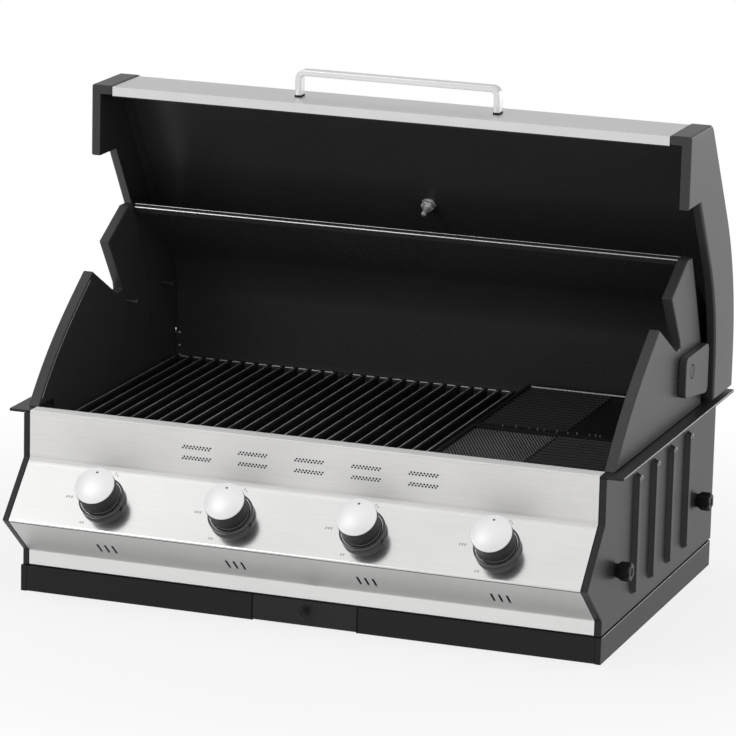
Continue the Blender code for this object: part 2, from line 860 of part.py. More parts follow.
def firebox_tub(material):
    """An open tub whose floor falls to a spout over the drawer."""
    spout_front = FASCIA_Y + SPOUT_FRONT
    spout_foot = TUB_WALL_FOOT_Z - TUB_FALL
    levels = []
    for shrink in (0.0, SHEET):
        wall = rectangle(
            -TUB_HALF + shrink, TUB_HALF - shrink, TUB_FRONT_Y + shrink, TUB_BACK_Y - shrink
        )
        mouth = rectangle(
            -SPOUT_HALF_WIDTH + shrink,
            SPOUT_HALF_WIDTH - shrink,
            spout_front + shrink,
            spout_front + SPOUT_DEPTH - shrink,
        )
        levels.append([
            along_z(wall, TUB_RIM_Z),
            along_z(wall, TUB_WALL_FOOT_Z + shrink),
            along_z(mouth, spout_foot + shrink),
            along_z(mouth, spout_foot - SPOUT_LENGTH),
        ])
    tub = solid("firebox_tub", levels[0] + levels[1][::-1], material, ring=True)
    ledge_z = TUB_RIM_Z - TAMER_LEDGE_DROP
    inside = TUB_HALF - SHEET / 2
    front = TUB_FRONT_Y + SHEET / 2
    back = TUB_BACK_Y - SHEET / 2
    ledges = [
        box((-inside, front, TUB_RIM_Z - SHEET), (inside, TUB_FRONT_Y + LEDGE_DEPTH, TUB_RIM_Z)),
        box((-inside, front, ledge_z - SHEET), (inside, TUB_FRONT_Y + TAMER_LEDGE_DEPTH, ledge_z)),
        box((-inside, TUB_BACK_Y - TAMER_LEDGE_DEPTH, ledge_z - SHEET), (inside, back, ledge_z)),
    ]
    join(tub, solids("firebox_ledges", ledges))
    holes = []
    for centre_x in knob_places():
        ring = circle((centre_x, burner_z()), BURNER_RADIUS + BURNER_SEAT, TUBE_ROUND)
        holes.append([along_y(ring, TUB_FRONT_Y - OVERRUN), along_y(ring, TUB_FRONT_Y + OVERRUN)])
    cut(tub, solids("firebox_burner_holes", holes))
    return tub


def grate_rail(material):
    """The bright angle on the rear wall that the grates rest on."""
    back = TUB_BACK_Y - SHEET - GAP
    path = [(back - RAIL_DEPTH, TUB_RIM_Z), (back, TUB_RIM_Z), (back, TUB_RIM_Z - RAIL_DROP)]
    ring = sheet_ring(path, -SHEET)
    half = TUB_HALF - SHEET - GAP
    return solid("grate_rail", [along_x(ring, -half), along_x(ring, half)], material)


def bar_outline():
    """Side outline of one grate bar, with a lug at each end, as (y, z)."""
    top = COOK_Z + BAR_HEIGHT - BAR_DROP
    low = COOK_Z - BAR_DROP
    front = TUB_FRONT_Y + LEDGE_DEPTH + LUG_CLEARANCE
    back = TUB_BACK_Y - SHEET - GAP - RAIL_DEPTH - LUG_CLEARANCE
    return [
        (COOK_FRONT_Y, COOK_Z),
        (front, COOK_Z),
        (front, low),
        (back, low),
        (back, COOK_Z),
        (COOK_BACK_Y, COOK_Z),
        (COOK_BACK_Y, top),
        (COOK_FRONT_Y, top),
    ]


def bar_loops(centre_x):
    return [along_x(bar_outline(), centre_x + side * BAR_WIDTH / 2) for side in (-1, 1)]


def end_bar_ring(end_y, inward):
    """Cross-section of the bar across one end of a grate, sloping towards the slots."""
    low = COOK_Z + GAP
    top = COOK_Z + BAR_HEIGHT - BAR_DROP - END_BAR_SET_DOWN
    end = end_y + inward * GAP
    near = end_y + inward * (END_BAR_WIDTH - END_BAR_SLOPE)
    far = end_y + inward * END_BAR_WIDTH
    return [(end, low), (far, low), (near, top), (end, top)]


def cooking_grate(name, low_x, material):
    """Long bars joined by a flush bar across each end and a low one across the middle."""
    high_x = low_x + BAR_PITCH * BARS_PER_GRATE
    middle_y = (COOK_FRONT_Y + COOK_BACK_Y) / 2
    low_z = COOK_Z - BAR_DROP + GAP
    middle = rectangle(
        middle_y - MIDDLE_BAR_WIDTH / 2, middle_y + MIDDLE_BAR_WIDTH / 2, low_z, low_z + MIDDLE_BAR_HEIGHT
    )
    rails = [end_bar_ring(COOK_FRONT_Y, 1), middle, end_bar_ring(COOK_BACK_Y, -1)]
    bars = [bar_loops(low_x + BAR_PITCH * (index + 0.5)) for index in range(BARS_PER_GRATE)]
    grate = solids(name, bars[:1], material)
    join(grate, solids("rails_" + name, [[along_x(ring, low_x), along_x(ring, high_x)] for ring in rails]))
    join(grate, solids("bars_" + name, bars[1:]))
    return grate


def griddle(name, low_x, high_x, low_y, high_y, ridged_side, material):
    """A cast plate with a low rim, hollow below, ridged on one half and smooth on the other."""
    under_z = COOK_Z + GRIDDLE_UNDER
    floor_z = under_z + GRIDDLE_THICKNESS
    top_z = floor_z + GRIDDLE_RIM_HEIGHT
    plate = solid(name, box((low_x, low_y, COOK_Z), (high_x, high_y, top_z)), material)
    rim = GRIDDLE_RIM_WIDTH
    dish = box((low_x + rim, low_y + rim, floor_z), (high_x - rim, high_y - rim, top_z + OVERRUN))
    hollow = box((low_x + rim, low_y + rim, COOK_Z - OVERRUN), (high_x - rim, high_y - rim, under_z))
    cut(plate, solids("hollows_" + name, [dish, hollow]))
    middle = (low_x + high_x) / 2
    near = middle if ridged_side > 0 else low_x + rim / 2
    far = high_x - rim / 2 if ridged_side > 0 else middle
    count = int((high_y - low_y - 2 * rim - RIDGE_WIDTH) / RIDGE_PITCH) + 1
    first = (low_y + high_y) / 2 - (count - 1) * RIDGE_PITCH / 2
    ridges = []
    for index in range(count):
        centre_y = first + index * RIDGE_PITCH
        ring = [
            (centre_y - RIDGE_WIDTH / 2, floor_z - RIDGE_SINK),
            (centre_y + RIDGE_WIDTH / 2, floor_z - RIDGE_SINK),
            (centre_y + RIDGE_WIDTH / 4, floor_z + RIDGE_HEIGHT),
            (centre_y - RIDGE_WIDTH / 4, floor_z + RIDGE_HEIGHT),
        ]
        ridges.append([along_x(ring, near), along_x(ring, far)])
    join(plate, solids("ridges_" + name, ridges))
    return plate


def flame_tamer(name, centre_x, material):
    """A slotted roof of sheet over one burner."""
    eave = TUB_RIM_Z - TAMER_LEDGE_DROP + GAP
    path = [
        (centre_x - TAMER_HALF_WIDTH, eave),
        (centre_x - TAMER_RIDGE, eave + TAMER_RISE),
        (centre_x + TAMER_RIDGE, eave + TAMER_RISE),
        (centre_x + TAMER_HALF_WIDTH, eave),
    ]
    ring = sheet_ring(path, TAMER_SHEET)
    front = TUB_FRONT_Y + SHEET + COOK_CLEARANCE
    back = TAMER_BACK_Y
    tamer = solid(name, [along_y(ring, front), along_y(ring, back)], material)
    slots = []
    for side in (-1, 1):
        low = direction(path[3 if side > 0 else 0], path[2 if side > 0 else 1])
        middle = (Vector(path[3 if side > 0 else 0]) + Vector(path[2 if side > 0 else 1])) / 2
        out = Vector((-low.y, low.x))
        for index in range(TAMER_SLOTS):
            centre_y = front + (back - front) * (index + 0.5) / TAMER_SLOTS
            loops = []
            for depth in (-OVERRUN, OVERRUN):
                corners = rectangle(
                    -TAMER_SLOT_WIDTH / 2, TAMER_SLOT_WIDTH / 2, -TAMER_SLOT_LENGTH / 2, TAMER_SLOT_LENGTH / 2
                )
                loop = []
                for across, along in corners:
                    place = middle + low * across + out * depth
                    loop.append((place.x, centre_y + along, place.y))
                loops.append(loop)
            slots.append(loops)
    cut(tamer, solids("slots_" + name, slots))
    return tamer


def burner_z():
    """Height of the burner tubes, level with the middle of the valves."""
    return KNOB_Z - math.cos(FACE_TILT) * VALVE_LENGTH / 2


def burner(name, centre_x, material):
    """A blind tube with two rows of flame ports, open at its mouth."""
    mouth = FASCIA_Y + BURNER_MOUTH
    end = TUB_BACK_Y - SHEET - GAP
    outer = circle((centre_x, burner_z()), BURNER_RADIUS, TUBE_ROUND)
    bore = circle((centre_x, burner_z()), BURNER_RADIUS - BURNER_WALL, TUBE_ROUND)
    loops = [
        along_y(outer, end),
        along_y(outer, mouth),
        along_y(bore, mouth),
        along_y(bore, end - BURNER_WALL),
    ]
    tube = solid(name, loops, material)
    ports = []
    for side in (-1, 1):
        turn = side * PORT_TILT
        out = Vector((math.sin(turn), math.cos(turn)))
        across = Vector((out.y, -out.x))
        for index in range(PORT_COUNT):
            centre_y = mouth + PORT_START + index * PORT_PITCH
            port = []
            for depth in (BURNER_RADIUS / 2, BURNER_RADIUS + OVERRUN):
                loop = []
                for a, b in rectangle(-PORT_WIDTH, PORT_WIDTH, -PORT_LENGTH / 2, PORT_LENGTH / 2):
                    place = Vector((centre_x, burner_z())) + out * depth + across * a
                    loop.append((place.x, centre_y + b, place.y))
                port.append(loop)
            ports.append(port)
    cut(tube, solids("ports_" + name, ports))
    smooth(tube)
    return tube


# Gas line and knobs


def knob_places():
    for index in range(BURNER_COUNT):
        yield (index - (BURNER_COUNT - 1) / 2) * BURNER_PITCH


def face_point(x, up, out):
    """A point given in the sloping face's own frame: across, up the face and out of it."""
    y = KNOB_Y + up * math.cos(FACE_TILT) - out * math.sin(FACE_TILT)
    z = KNOB_Z + up * math.sin(FACE_TILT) + out * math.cos(FACE_TILT)
    return (x, y, z)


def manifold_place():
    """Centre line of the manifold, as (y, z)."""
    return face_point(0, 0, -MANIFOLD_DROP)[1:]


def inlet_z():
    return manifold_place()[1] - MANIFOLD_RADIUS - GAP - INLET_DROP


def gas_manifold(material):
    """The pipe across the panel with its four valves and injectors."""
    half = SIDE_INNER - GAP
    ring = circle(manifold_place(), MANIFOLD_RADIUS, SMALL_ROUND)
    pipe = solid("gas_manifold", [along_x(ring, -half), along_x(ring, half)], material)
    valves, injectors, bores = [], [], []
    for centre_x in knob_places():
        body = circle((centre_x, 0), VALVE_RADIUS, SMALL_ROUND - 2)
        top = -SHEET - GAP
        valves.append([
            [face_point(x, y, top) for x, y in body],
            [face_point(x, y, top - VALVE_LENGTH) for x, y in body],
        ])
        tip = circle((centre_x, burner_z()), INJECTOR_RADIUS, SMALL_ROUND - 4)
        root_y = face_point(0, 0, -VALVE_LENGTH / 2)[1]
        tip_y = FASCIA_Y + BURNER_MOUTH + INJECTOR_INTO_BURNER
        injectors.append([along_y(tip, root_y), along_y(tip, tip_y)])
        bore = circle((centre_x, 0), STEM_RADIUS + GAP, SMALL_ROUND)
        bores.append([
            [face_point(x, y, OVERRUN) for x, y in bore],
            [face_point(x, y, -STEM_BELOW - GAP) for x, y in bore],
        ])
    join(pipe, solids("manifold_valves", valves))
    join(pipe, solids("manifold_injectors", injectors))
    cut(pipe, solids("manifold_bores", bores))
    smooth(pipe)
    return pipe


def gas_inlet_pipe(material):
    """The supply pipe from the manifold back through the cabinet, with its connecting nut."""
    start_y, start_z = manifold_place()
    path = [
        (start_y, start_z - MANIFOLD_RADIUS - GAP),
        (start_y, inlet_z()),
        (BACK_Y + INLET_TAIL, inlet_z()),
    ]
    pipe = solid(
        "gas_inlet_pipe",
        swept_in_yz(INLET_PLACE, rounded(path, INLET_BEND, 5), INLET_PIPE_RADIUS, SMALL_ROUND),
        material,
    )
    ring = circle((INLET_PLACE, inlet_z()), INLET_NUT_RADIUS, 6)
    nut_y = BACK_Y + GAP
    join(pipe, solids("gas_inlet_nut", [[along_y(ring, nut_y), along_y(ring, nut_y + INLET_NUT_LENGTH)]]))
    smooth(pipe)
    return pipe


def valve_stem(name, pivot, material):
    """A round stem with a flat, from inside the valve into the knob's hub."""
    flat = STEM_RADIUS - STEM_FLAT
    opening = math.acos(flat / STEM_RADIUS)
    ring = []
    for step in range(SMALL_ROUND + 1):
        turn = opening + (math.tau - 2 * opening) * step / SMALL_ROUND
        ring.append((STEM_RADIUS * math.sin(turn), STEM_RADIUS * math.cos(turn)))
    high = skirt_foot() + SKIRT_HEIGHT - SKIRT_ROOF / 2 - KNOB_TRAVEL - GAP
    stem = solid(name, prism(ring, -STEM_BELOW, high, along_z), material)
    stem.parent = pivot
    smooth(stem)
    return stem


def skirt_foot():
    """Height of the knob's rim over the panel."""
    return GAP + BEZEL_HEIGHT + KNOB_TRAVEL + KNOB_STANDOFF


def knob_bezel(name, pivot, material):
    profile = [
        (BEZEL_HOLE, GAP),
        (BEZEL_RADIUS, GAP),
        (BEZEL_RADIUS - BEZEL_LIP / 4, GAP + BEZEL_HEIGHT - BEZEL_LIP / 2),
        (BEZEL_RADIUS - BEZEL_LIP, GAP + BEZEL_HEIGHT),
        (BEZEL_RADIUS - 2 * BEZEL_LIP, GAP + BEZEL_FLOOR),
        (BEZEL_HOLE, GAP + BEZEL_FLOOR),
    ]
    bezel = turned(name, profile, material)
    bezel.parent = pivot
    smooth(bezel)
    return bezel


def knob_skirt(name, pivot, material):
    """The knob's dark body, flared to a rim at the panel, with a hub for the stem."""
    foot = skirt_foot()
    top = foot + SKIRT_HEIGHT
    roof = top - SKIRT_ROOF / 2
    bore = STEM_RADIUS + GAP
    profile = [
        (0, top),
        (CAP_RADIUS - SKIRT_SHOULDER / 2, top),
        (SKIRT_BODY_RADIUS, foot + SKIRT_RIM + SKIRT_SHOULDER),
        (SKIRT_RADIUS, foot + SKIRT_RIM),
        (SKIRT_RADIUS - SKIRT_SHOULDER / 4, foot),
        (SKIRT_RADIUS - SKIRT_RIM_WALL, foot),
        (SKIRT_BODY_RADIUS - SKIRT_RIM_WALL, top - SKIRT_ROOF),
        (HUB_RADIUS, top - SKIRT_ROOF),
        (HUB_RADIUS, top - SKIRT_ROOF - HUB_DROP),
        (bore, top - SKIRT_ROOF - HUB_DROP),
        (bore, roof),
        (0, roof),
    ]
    skirt = turned(name, profile, material)
    skirt.parent = pivot
    smooth(skirt)
    return skirt


def knob_cap(name, pivot, material):
    """The bright domed cap with a small pointer dot towards twelve o'clock."""
    low = skirt_foot() + SKIRT_HEIGHT + GAP
    rim = low + CAP_EDGE
    radius = (CAP_RADIUS ** 2 + CAP_DOME ** 2) / (2 * CAP_DOME)
    spread = math.asin(CAP_RADIUS / radius)
    profile = [(0, low), (CAP_RADIUS - CAP_EDGE / 4, low), (CAP_RADIUS, low + CAP_EDGE / 4)]
    for step in range(BEND_STEPS):
        turn = spread * (1 - step / BEND_STEPS)
        profile.append((radius * math.sin(turn), rim + CAP_DOME - radius + radius * math.cos(turn)))
    profile.append((0, rim + CAP_DOME))
    cap = turned(name, profile, material)
    dot = circle((0, CAP_DOT_PLACE), CAP_DOT_RADIUS, 8)
    sink = rim + CAP_EDGE / 2 - CAP_DOT_DEPTH
    helper = solids("dot_" + name, [[along_z(dot, sink), along_z(dot, sink + OVERRUN)]])
    for piece in (cap, helper):
        piece.parent = pivot
    cut(cap, helper)
    smooth(cap)
    return cap


# Grease drawer


def grease_drawer(pivot, material):
    """A tray with a folded front that fills the gap between the plinth panels."""
    front = FASCIA_Y - PLINTH_STEP
    low = SHEET + GAP
    inner = DRAWER_HALF_WIDTH - DRAWER_TRAY_INSET
    back = front + DRAWER_LENGTH
    outer_ring = rectangle(-inner, inner, front + DRAWER_SHEET / 2, back)
    inner_ring = inset(outer_ring, DRAWER_SHEET)
    loops = [
        along_z(outer_ring, low),
        along_z(outer_ring, low + DRAWER_TRAY_HEIGHT),
        along_z(inner_ring, low + DRAWER_TRAY_HEIGHT),
        along_z(inner_ring, low + DRAWER_SHEET),
    ]
    tray = solid("grease_drawer", loops, material)
    path = [
        (front + PLINTH_PANEL_DEPTH, PLINTH_HEIGHT),
        (front, PLINTH_HEIGHT),
        (front, low),
    ]
    ring = sheet_ring(rounded(path, PLINTH_BEND), SHEET)
    face = [[along_x(ring, -DRAWER_HALF_WIDTH), along_x(ring, DRAWER_HALF_WIDTH)]]
    plate = solids("drawer_face", face)
    ring = circle((0, DRAWER_KNOB_HEIGHT), DRAWER_PEG_RADIUS + GAP, SMALL_ROUND - 2)
    hole = [[along_y(ring, front - OVERRUN), along_y(ring, front + OVERRUN)]]
    helper = solids("drawer_hole", hole)
    join(tray, plate)
    cut(tray, helper)
    place_on(tray, pivot)
    place_on(plate, pivot)
    place_on(helper, pivot)
    return tray


def place_on(obj, pivot):
    """Parents a shape drawn in world places to an unturned empty, with its origin there."""
    obj.data.transform(Matrix.Translation(-pivot.location))
    obj.parent = pivot


def drawer_knob(pivot, material):
    """A small turned knob with a peg through the drawer's face."""
    stand = GAP + DRAWER_KNOB_STAND
    profile = [
        (0, -DRAWER_PEG_LENGTH),
        (DRAWER_PEG_RADIUS, -DRAWER_PEG_LENGTH),
        (DRAWER_PEG_RADIUS, GAP),
        (DRAWER_KNOB_NECK, GAP),
        (DRAWER_KNOB_NECK, stand - DRAWER_KNOB_HEAD / 4),
        (DRAWER_KNOB_RADIUS, stand),
        (DRAWER_KNOB_RADIUS, stand + DRAWER_KNOB_HEAD / 2),
        (DRAWER_KNOB_FACE, stand + DRAWER_KNOB_HEAD),
        (0, stand + DRAWER_KNOB_HEAD),
    ]
    knob = turned("drawer_knob", profile, material, TUBE_ROUND)
    knob.data.transform(Matrix.Rotation(math.pi / 2, 4, "X"))
    knob.data.transform(Matrix.Translation((0, 0, DRAWER_KNOB_HEIGHT)))
    knob.parent = pivot
    smooth(knob)
    return knob


# Cooking chamber


def on_cheek(back, height):
    """A place given from the fascia and from the flange's top, as (y, z)."""
    return (FASCIA_Y + back, FLANGE_TOP_Z + height)


def cheek_front():
    """The cheek's stepped edge from its crest down over the knee and the spit notch to the peak."""
    return [
        on_cheek(CREST_FRONT, CREST_HEIGHT),
        on_cheek(KNEE_BACK, KNEE_HEIGHT),
        on_cheek(SEAT_TOP_BACK, SEAT_TOP_HEIGHT),
        on_cheek(SEAT_BACK, SEAT_HEIGHT),
        on_cheek(NOTCH_BACK, NOTCH_HEIGHT),
        on_cheek(PEAK_BACK, PEAK_HEIGHT),
    ]


def cheek(name, side, material):
    """A double-walled side: a thick front part, a thin wall on to the back panel, two rack pins."""
    foot = FLANGE_TOP_Z + GAP
    front = cheek_front()
    front[:2] = fillet(on_cheek(CREST_REAR, CREST_HEIGHT), front[0], front[1], CORNER_ROUND, 2) + [front[1]]
    outer = [
        (FASCIA_Y + CHEEK_FOOT, foot),
        (FASCIA_Y + OUTER_WALL_FOOT, foot),
        on_cheek(OUTER_WALL_BEND, OUTER_WALL_BEND_HEIGHT),
        on_cheek(OUTER_WALL_TOP, CREST_HEIGHT),
    ]
    loops = prism(outer + front, CHEEK_INNER, CHEEK_OUTER, along_x, CHEEK_EDGE_ROUND)
    slab = solid(name, [[(side * x, y, z) for x, y, z in loop] for loop in loops], material)
    back = [point for point in back_path(foot - CHEEK_TONGUE_DROP) if point[0] > FASCIA_Y + CREST_REAR]
    start_y = FASCIA_Y + CHEEK_FOOT + CHEEK_TONGUE_DROP
    wall = [(start_y, foot - CHEEK_TONGUE_DROP)] + back
    wall += [on_cheek(CREST_REAR, CREST_HEIGHT - GAP), on_cheek(CREST_FRONT + CORNER_ROUND, CREST_HEIGHT - GAP)]
    wall += [on_cheek(WALL_START, NOTCH_HEIGHT), on_cheek(WALL_START, CHEEK_THICKNESS)]
    wall.append((start_y, foot + CHEEK_THICKNESS))
    inner = side * (CHEEK_INNER + GAP / 2)
    rear = [[along_x(wall, inner), along_x(wall, side * (CHEEK_INNER + CHEEK_TONGUE))]]
    join(slab, solids("wall_" + name, rear))
    pins = []
    for back_y in PIN_BACKS:
        shaft = circle(on_cheek(back_y, PIN_HEIGHT), PIN_RADIUS, 8)
        head = circle(on_cheek(back_y, PIN_HEIGHT), PIN_HEAD_RADIUS, 8)
        tip = CHEEK_INNER - PIN_LENGTH
        pins.append([
            along_x(shaft, side * (CHEEK_INNER + CHEEK_EDGE_ROUND)),
            along_x(shaft, side * (tip + PIN_HEAD)),
            along_x(head, side * (tip + PIN_HEAD)),
            along_x(head, side * tip),
        ])
    join(slab, solids("pins_" + name, pins))
    ring = circle((HINGE_Y, HINGE_Z), BOLT_RADIUS + GAP, SMALL_ROUND)
    hole = [along_x(ring, side * (CHEEK_INNER + BOLT_BLIND)), along_x(ring, side * (CHEEK_OUTER + OVERRUN))]
    cut(slab, solids("bolt_hole_" + name, [hole]))
    return slab


def back_panel(material):
    path = back_path(TUB_WALL_FOOT_Z)
    ring = sheet_ring(path, -SHEET)
    half = CHEEK_INNER - GAP
    return solid("back_panel", [along_x(ring, -half), along_x(ring, half)], material)


def back_trim(material):
    """A bright channel with a grooved front edge over the top of the back panel."""
    path = back_path(TUB_WALL_FOOT_Z)
    along = direction(path[-2], path[-1])
    up = Vector((-along.y, along.x))
    if up.y < 0:
        up = -up
    tip = Vector(path[-1]) + up * (SHEET / 2) + along * GAP
    grip = SHEET / 2 + GAP
    corners = [
        (-TRIM_DEPTH, -TRIM_HALF),
        (TRIM_LIP - TRIM_EDGE, -TRIM_HALF),
        (TRIM_LIP, -TRIM_HALF + TRIM_EDGE),
        (TRIM_LIP, -TRIM_GROOVE / 2 - TRIM_EDGE),
        (TRIM_LIP - TRIM_EDGE, -TRIM_GROOVE / 2),
        (TRIM_LIP - TRIM_EDGE, TRIM_GROOVE / 2),
        (TRIM_LIP, TRIM_GROOVE / 2 + TRIM_EDGE),
        (TRIM_LIP, TRIM_HALF - TRIM_EDGE),
        (TRIM_LIP - TRIM_EDGE, TRIM_HALF),
        (-TRIM_DEPTH, TRIM_HALF),
        (-TRIM_DEPTH, grip),
        (0, grip),
        (0, -grip),
        (-TRIM_DEPTH, -grip),
    ]
    outline = [tuple(tip + along * a + up * b) for a, b in corners]
    half = CHEEK_INNER - GAP
    trim = solid("back_trim", [along_x(outline, -half), along_x(outline, half)], material)
    smooth(trim)
    return trim


# Hood


def cap_ring():
    """Side outline of an end cap: a band over the crown with a deeper front foot."""
    outer = crown_path(
        HOOD_REACH + CAP_PROUD,
        HOOD_CROWN + CAP_PROUD,
        HOOD_CROWN_RADIUS + CAP_PROUD,
        HOOD_TAIL + CAP_PROUD,
        -LIP_DROP - CAP_PROUD,
    )
    inner = crown_path(
        HOOD_REACH + CAP_PROUD,
        HOOD_CROWN + CAP_PROUD - CAP_BAND,
        HOOD_CROWN_RADIUS + CAP_PROUD - CAP_BAND,
        HOOD_TAIL + CAP_PROUD,
        -LIP_DROP - CAP_PROUD,
    )
    step_y = -HOOD_REACH - CAP_PROUD + CAP_FRONT_DEPTH
    arc = inner[-CROWN_STEPS - 2:]
    step_z = arc[0][1] - (arc[0][0] - step_y) * math.tan(HOOD_SLOPE)
    under = [(step_y, -LIP_DROP - CAP_PROUD), (step_y, step_z)]
    return outer + arc[::-1] + under[::-1]


def hood_cap(name, side, pivot, material):
    """A moulded end cap: a side plate with a rim that laps over the skin."""
    loops = prism(cap_ring(), CAP_RIM_INNER, CAP_OUTER, along_x, CAP_EDGE_ROUND)
    plate = solid(name, [[(side * x, y, z) for x, y, z in loop] for loop in loops], material)
    under = crown_path(
        HOOD_REACH + CAP_PROUD - CAP_RIM,
        HOOD_CROWN + CAP_PROUD - CAP_RIM,
        HOOD_CROWN_RADIUS + CAP_PROUD - CAP_RIM,
        HOOD_TAIL + CAP_RIM,
        -LIP_DROP - CAP_RIM,
    )
    hollow = under + [(HOOD_TAIL + CAP_RIM, -LIP_DROP - CAP_RIM)]
    low = side * (CAP_RIM_INNER - OVERRUN)
    space = solids("hollow_" + name, [[along_x(hollow, low), along_x(hollow, side * CAP_INNER)]])
    cut(plate, space)
    for piece in (plate, space):
        piece.parent = pivot
    smooth(plate, math.radians(30))
    return plate


def hood_skin(pivot, material):
    """The bright outer sheet, turned under at the lip and at the tail."""
    path = skin_path()
    front = [(-HOOD_REACH + HOOD_LIP_RETURN, -LIP_DROP)]
    tail = [(HOOD_TAIL, HOOD_CROWN - HOOD_TAIL_RETURN)]
    ring = sheet_ring(front + path + tail, -HOOD_SHEET)
    half = CAP_RIM_INNER - GAP
    skin = solid("hood_skin", [along_x(ring, -half), along_x(ring, half)], material)
    place = gauge_frame()
    bore = circle((0, 0), GAUGE_STEM_RADIUS + GAP, ROUND)
    holes = [gauge_loop(place, bore, OVERRUN * 2), gauge_loop(place, bore, -LINER_SPACE / 2)]
    helper = solids("skin_gauge_hole", [holes])
    cut(skin, helper)
    for piece in (skin, helper):
        piece.parent = pivot
    smooth(skin, math.radians(25))
    return skin


def liner_path():
    """The dark inner sheet, close under the skin at the tail and deeper in front."""
    deep = skin_path(HOOD_SHEET + LINER_SPACE)
    front = [point for point in deep if point[0] < -LINER_STEP_BACK]
    tail_z = HOOD_CROWN - HOOD_SHEET - LINER_TAIL_SPACE
    low = -LIP_DROP + HOOD_SHEET + GAP
    front[0] = (front[0][0], low)
    return front + [(0, tail_z), (HOOD_TAIL - HOOD_SHEET - GAP, tail_z)]


def leg_stations():
    """Places along the liner's outer face between the two ends of its side flanges."""
    path = skin_path(HOOD_SHEET + LINER_SPACE)
    arc = path[-CROWN_STEPS - 2:-1]
    start_z = arc[0][1] - (arc[0][0] + LINER_LEG_FRONT) * math.tan(HOOD_SLOPE)
    return [(-LINER_LEG_FRONT, start_z)] + [point for point in arc if point[0] < -LINER_LEG_BACK]


def flange_loops(side):
    """An L-shaped flange along one side of the liner, as a section moved along its stations."""
    half = CAP_RIM_INNER - GAP
    outer = CAP_INNER - LINER_LEG_CLEARANCE
    section = [
        (half - LINER_SHEET, LINER_STEP),
        (outer, LINER_STEP),
        (outer, LINER_LEG),
        (outer - LINER_SHEET, LINER_LEG),
        (outer - LINER_SHEET, LINER_SHEET + LINER_STEP),
        (half - LINER_SHEET, LINER_SHEET + LINER_STEP),
    ]
    stations = leg_stations()
    columns = [shifted(stations, -depth) for _, depth in section]
    loops = []
    for row in zip(*columns):
        loops.append([(side * x, place[0], place[1]) for (x, _), place in zip(section, row)])
    return loops


def hood_liner(pivot, material):
    ring = sheet_ring(liner_path(), -LINER_SHEET)
    half = CAP_RIM_INNER - GAP
    liner = solid("hood_liner", [along_x(ring, -half), along_x(ring, half)], material)
    wings = solids("liner_flanges", [flange_loops(-1), flange_loops(1)])
    join(liner, wings)
    place = gauge_frame()
    bore = circle((0, 0), GAUGE_STEM_RADIUS + GAP, ROUND)
    holes = [gauge_loop(place, bore, -LINER_SPACE / 2), gauge_loop(place, bore, -LINER_SPACE - OVERRUN * 2)]
    helper = solids("liner_gauge_hole", [holes])
    cut(liner, helper)
    for piece in (liner, wings, helper):
        piece.parent = pivot
    smooth(liner, math.radians(25))
    return liner


def gauge_frame():
    """Centre and outward direction of the thermometer on the crown, as (y, z) pairs."""
    offset = HOOD_CROWN_START + GAUGE_PLACE
    lean = math.asin(offset / HOOD_CROWN_RADIUS)
    out = Vector((-math.sin(lean), math.cos(lean)))
    centre = Vector((HOOD_CROWN_START, HOOD_CROWN - HOOD_CROWN_RADIUS)) + out * HOOD_CROWN_RADIUS
    return centre, out


def gauge_loop(place, ring, height):
    centre, out = place
    across = Vector((out.y, -out.x))
    loop = []
    for a, b in ring:
        spot = centre + out * height + across * b
        loop.append((a, spot.x, spot.y))
    return loop


def thermometer(pivot, material):
    """A round gauge on the skin with a stem, a nut inside and a probe."""
    centre, out = gauge_frame()
    stand = GAP + GAUGE_RADIUS ** 2 / (2 * HOOD_CROWN_RADIUS)
    nut_top = -HOOD_SHEET - LINER_SPACE - LINER_SHEET - GAP * 2
    profile = [
        (0, stand + GAUGE_HEIGHT - GAUGE_DISH),
        (GAUGE_RADIUS - GAUGE_RIM, stand + GAUGE_HEIGHT - GAUGE_DISH),
        (GAUGE_RADIUS - GAUGE_RIM_TOP, stand + GAUGE_HEIGHT),
        (GAUGE_RADIUS - GAUGE_RIM / 4, stand + GAUGE_HEIGHT),
        (GAUGE_RADIUS, stand + GAUGE_HEIGHT - GAUGE_RIM / 2),
        (GAUGE_RADIUS, stand),
        (GAUGE_STEM_RADIUS, stand),
        (GAUGE_STEM_RADIUS, nut_top),
        (GAUGE_NUT_RADIUS, nut_top),
        (GAUGE_NUT_RADIUS, nut_top - GAUGE_NUT),
        (GAUGE_STEM_RADIUS, nut_top - GAUGE_NUT),
        (PROBE_RADIUS, nut_top - GAUGE_NUT * 2),
        (PROBE_RADIUS, nut_top - GAUGE_NUT * 2 - PROBE_LENGTH),
        (0, nut_top - GAUGE_NUT * 2 - PROBE_LENGTH),
    ]
    gauge = turned("thermometer", profile, material)
    lean = math.atan2(-out.x, out.y)
    gauge.data.transform(Matrix.Rotation(lean, 4, "X"))
    gauge.data.transform(Matrix.Translation((0, centre.x, centre.y)))
    gauge.parent = pivot
    smooth(gauge)
    return gauge


def arm_outer():
    return CHEEK_OUTER + GAP + ARM_THICKNESS


def arm_pad_ring():
    """Side outline of a hinge arm's thick part, from its toe below the bolt."""
    ring = [
        (-ARM_FRONT, -ARM_TOE),
        (ARM_TOE_REAR, -ARM_TOE),
        (ARM_PAD_REAR, ARM_PAD_END),
        (-ARM_FRONT, ARM_PAD_END),
    ]
    return rounded_ring(ring, ARM_CORNER, 2)


def arm_strap_ring():
    """Side outline of the thin part that runs on inside the cap."""
    return [
        (-ARM_FRONT + ARM_CORNER, 0),
        (ARM_TOE_REAR - ARM_CORNER, 0),
        (ARM_PAD_REAR, ARM_ROOT),
        (-ARM_FRONT + ARM_CORNER, ARM_ROOT),
    ]


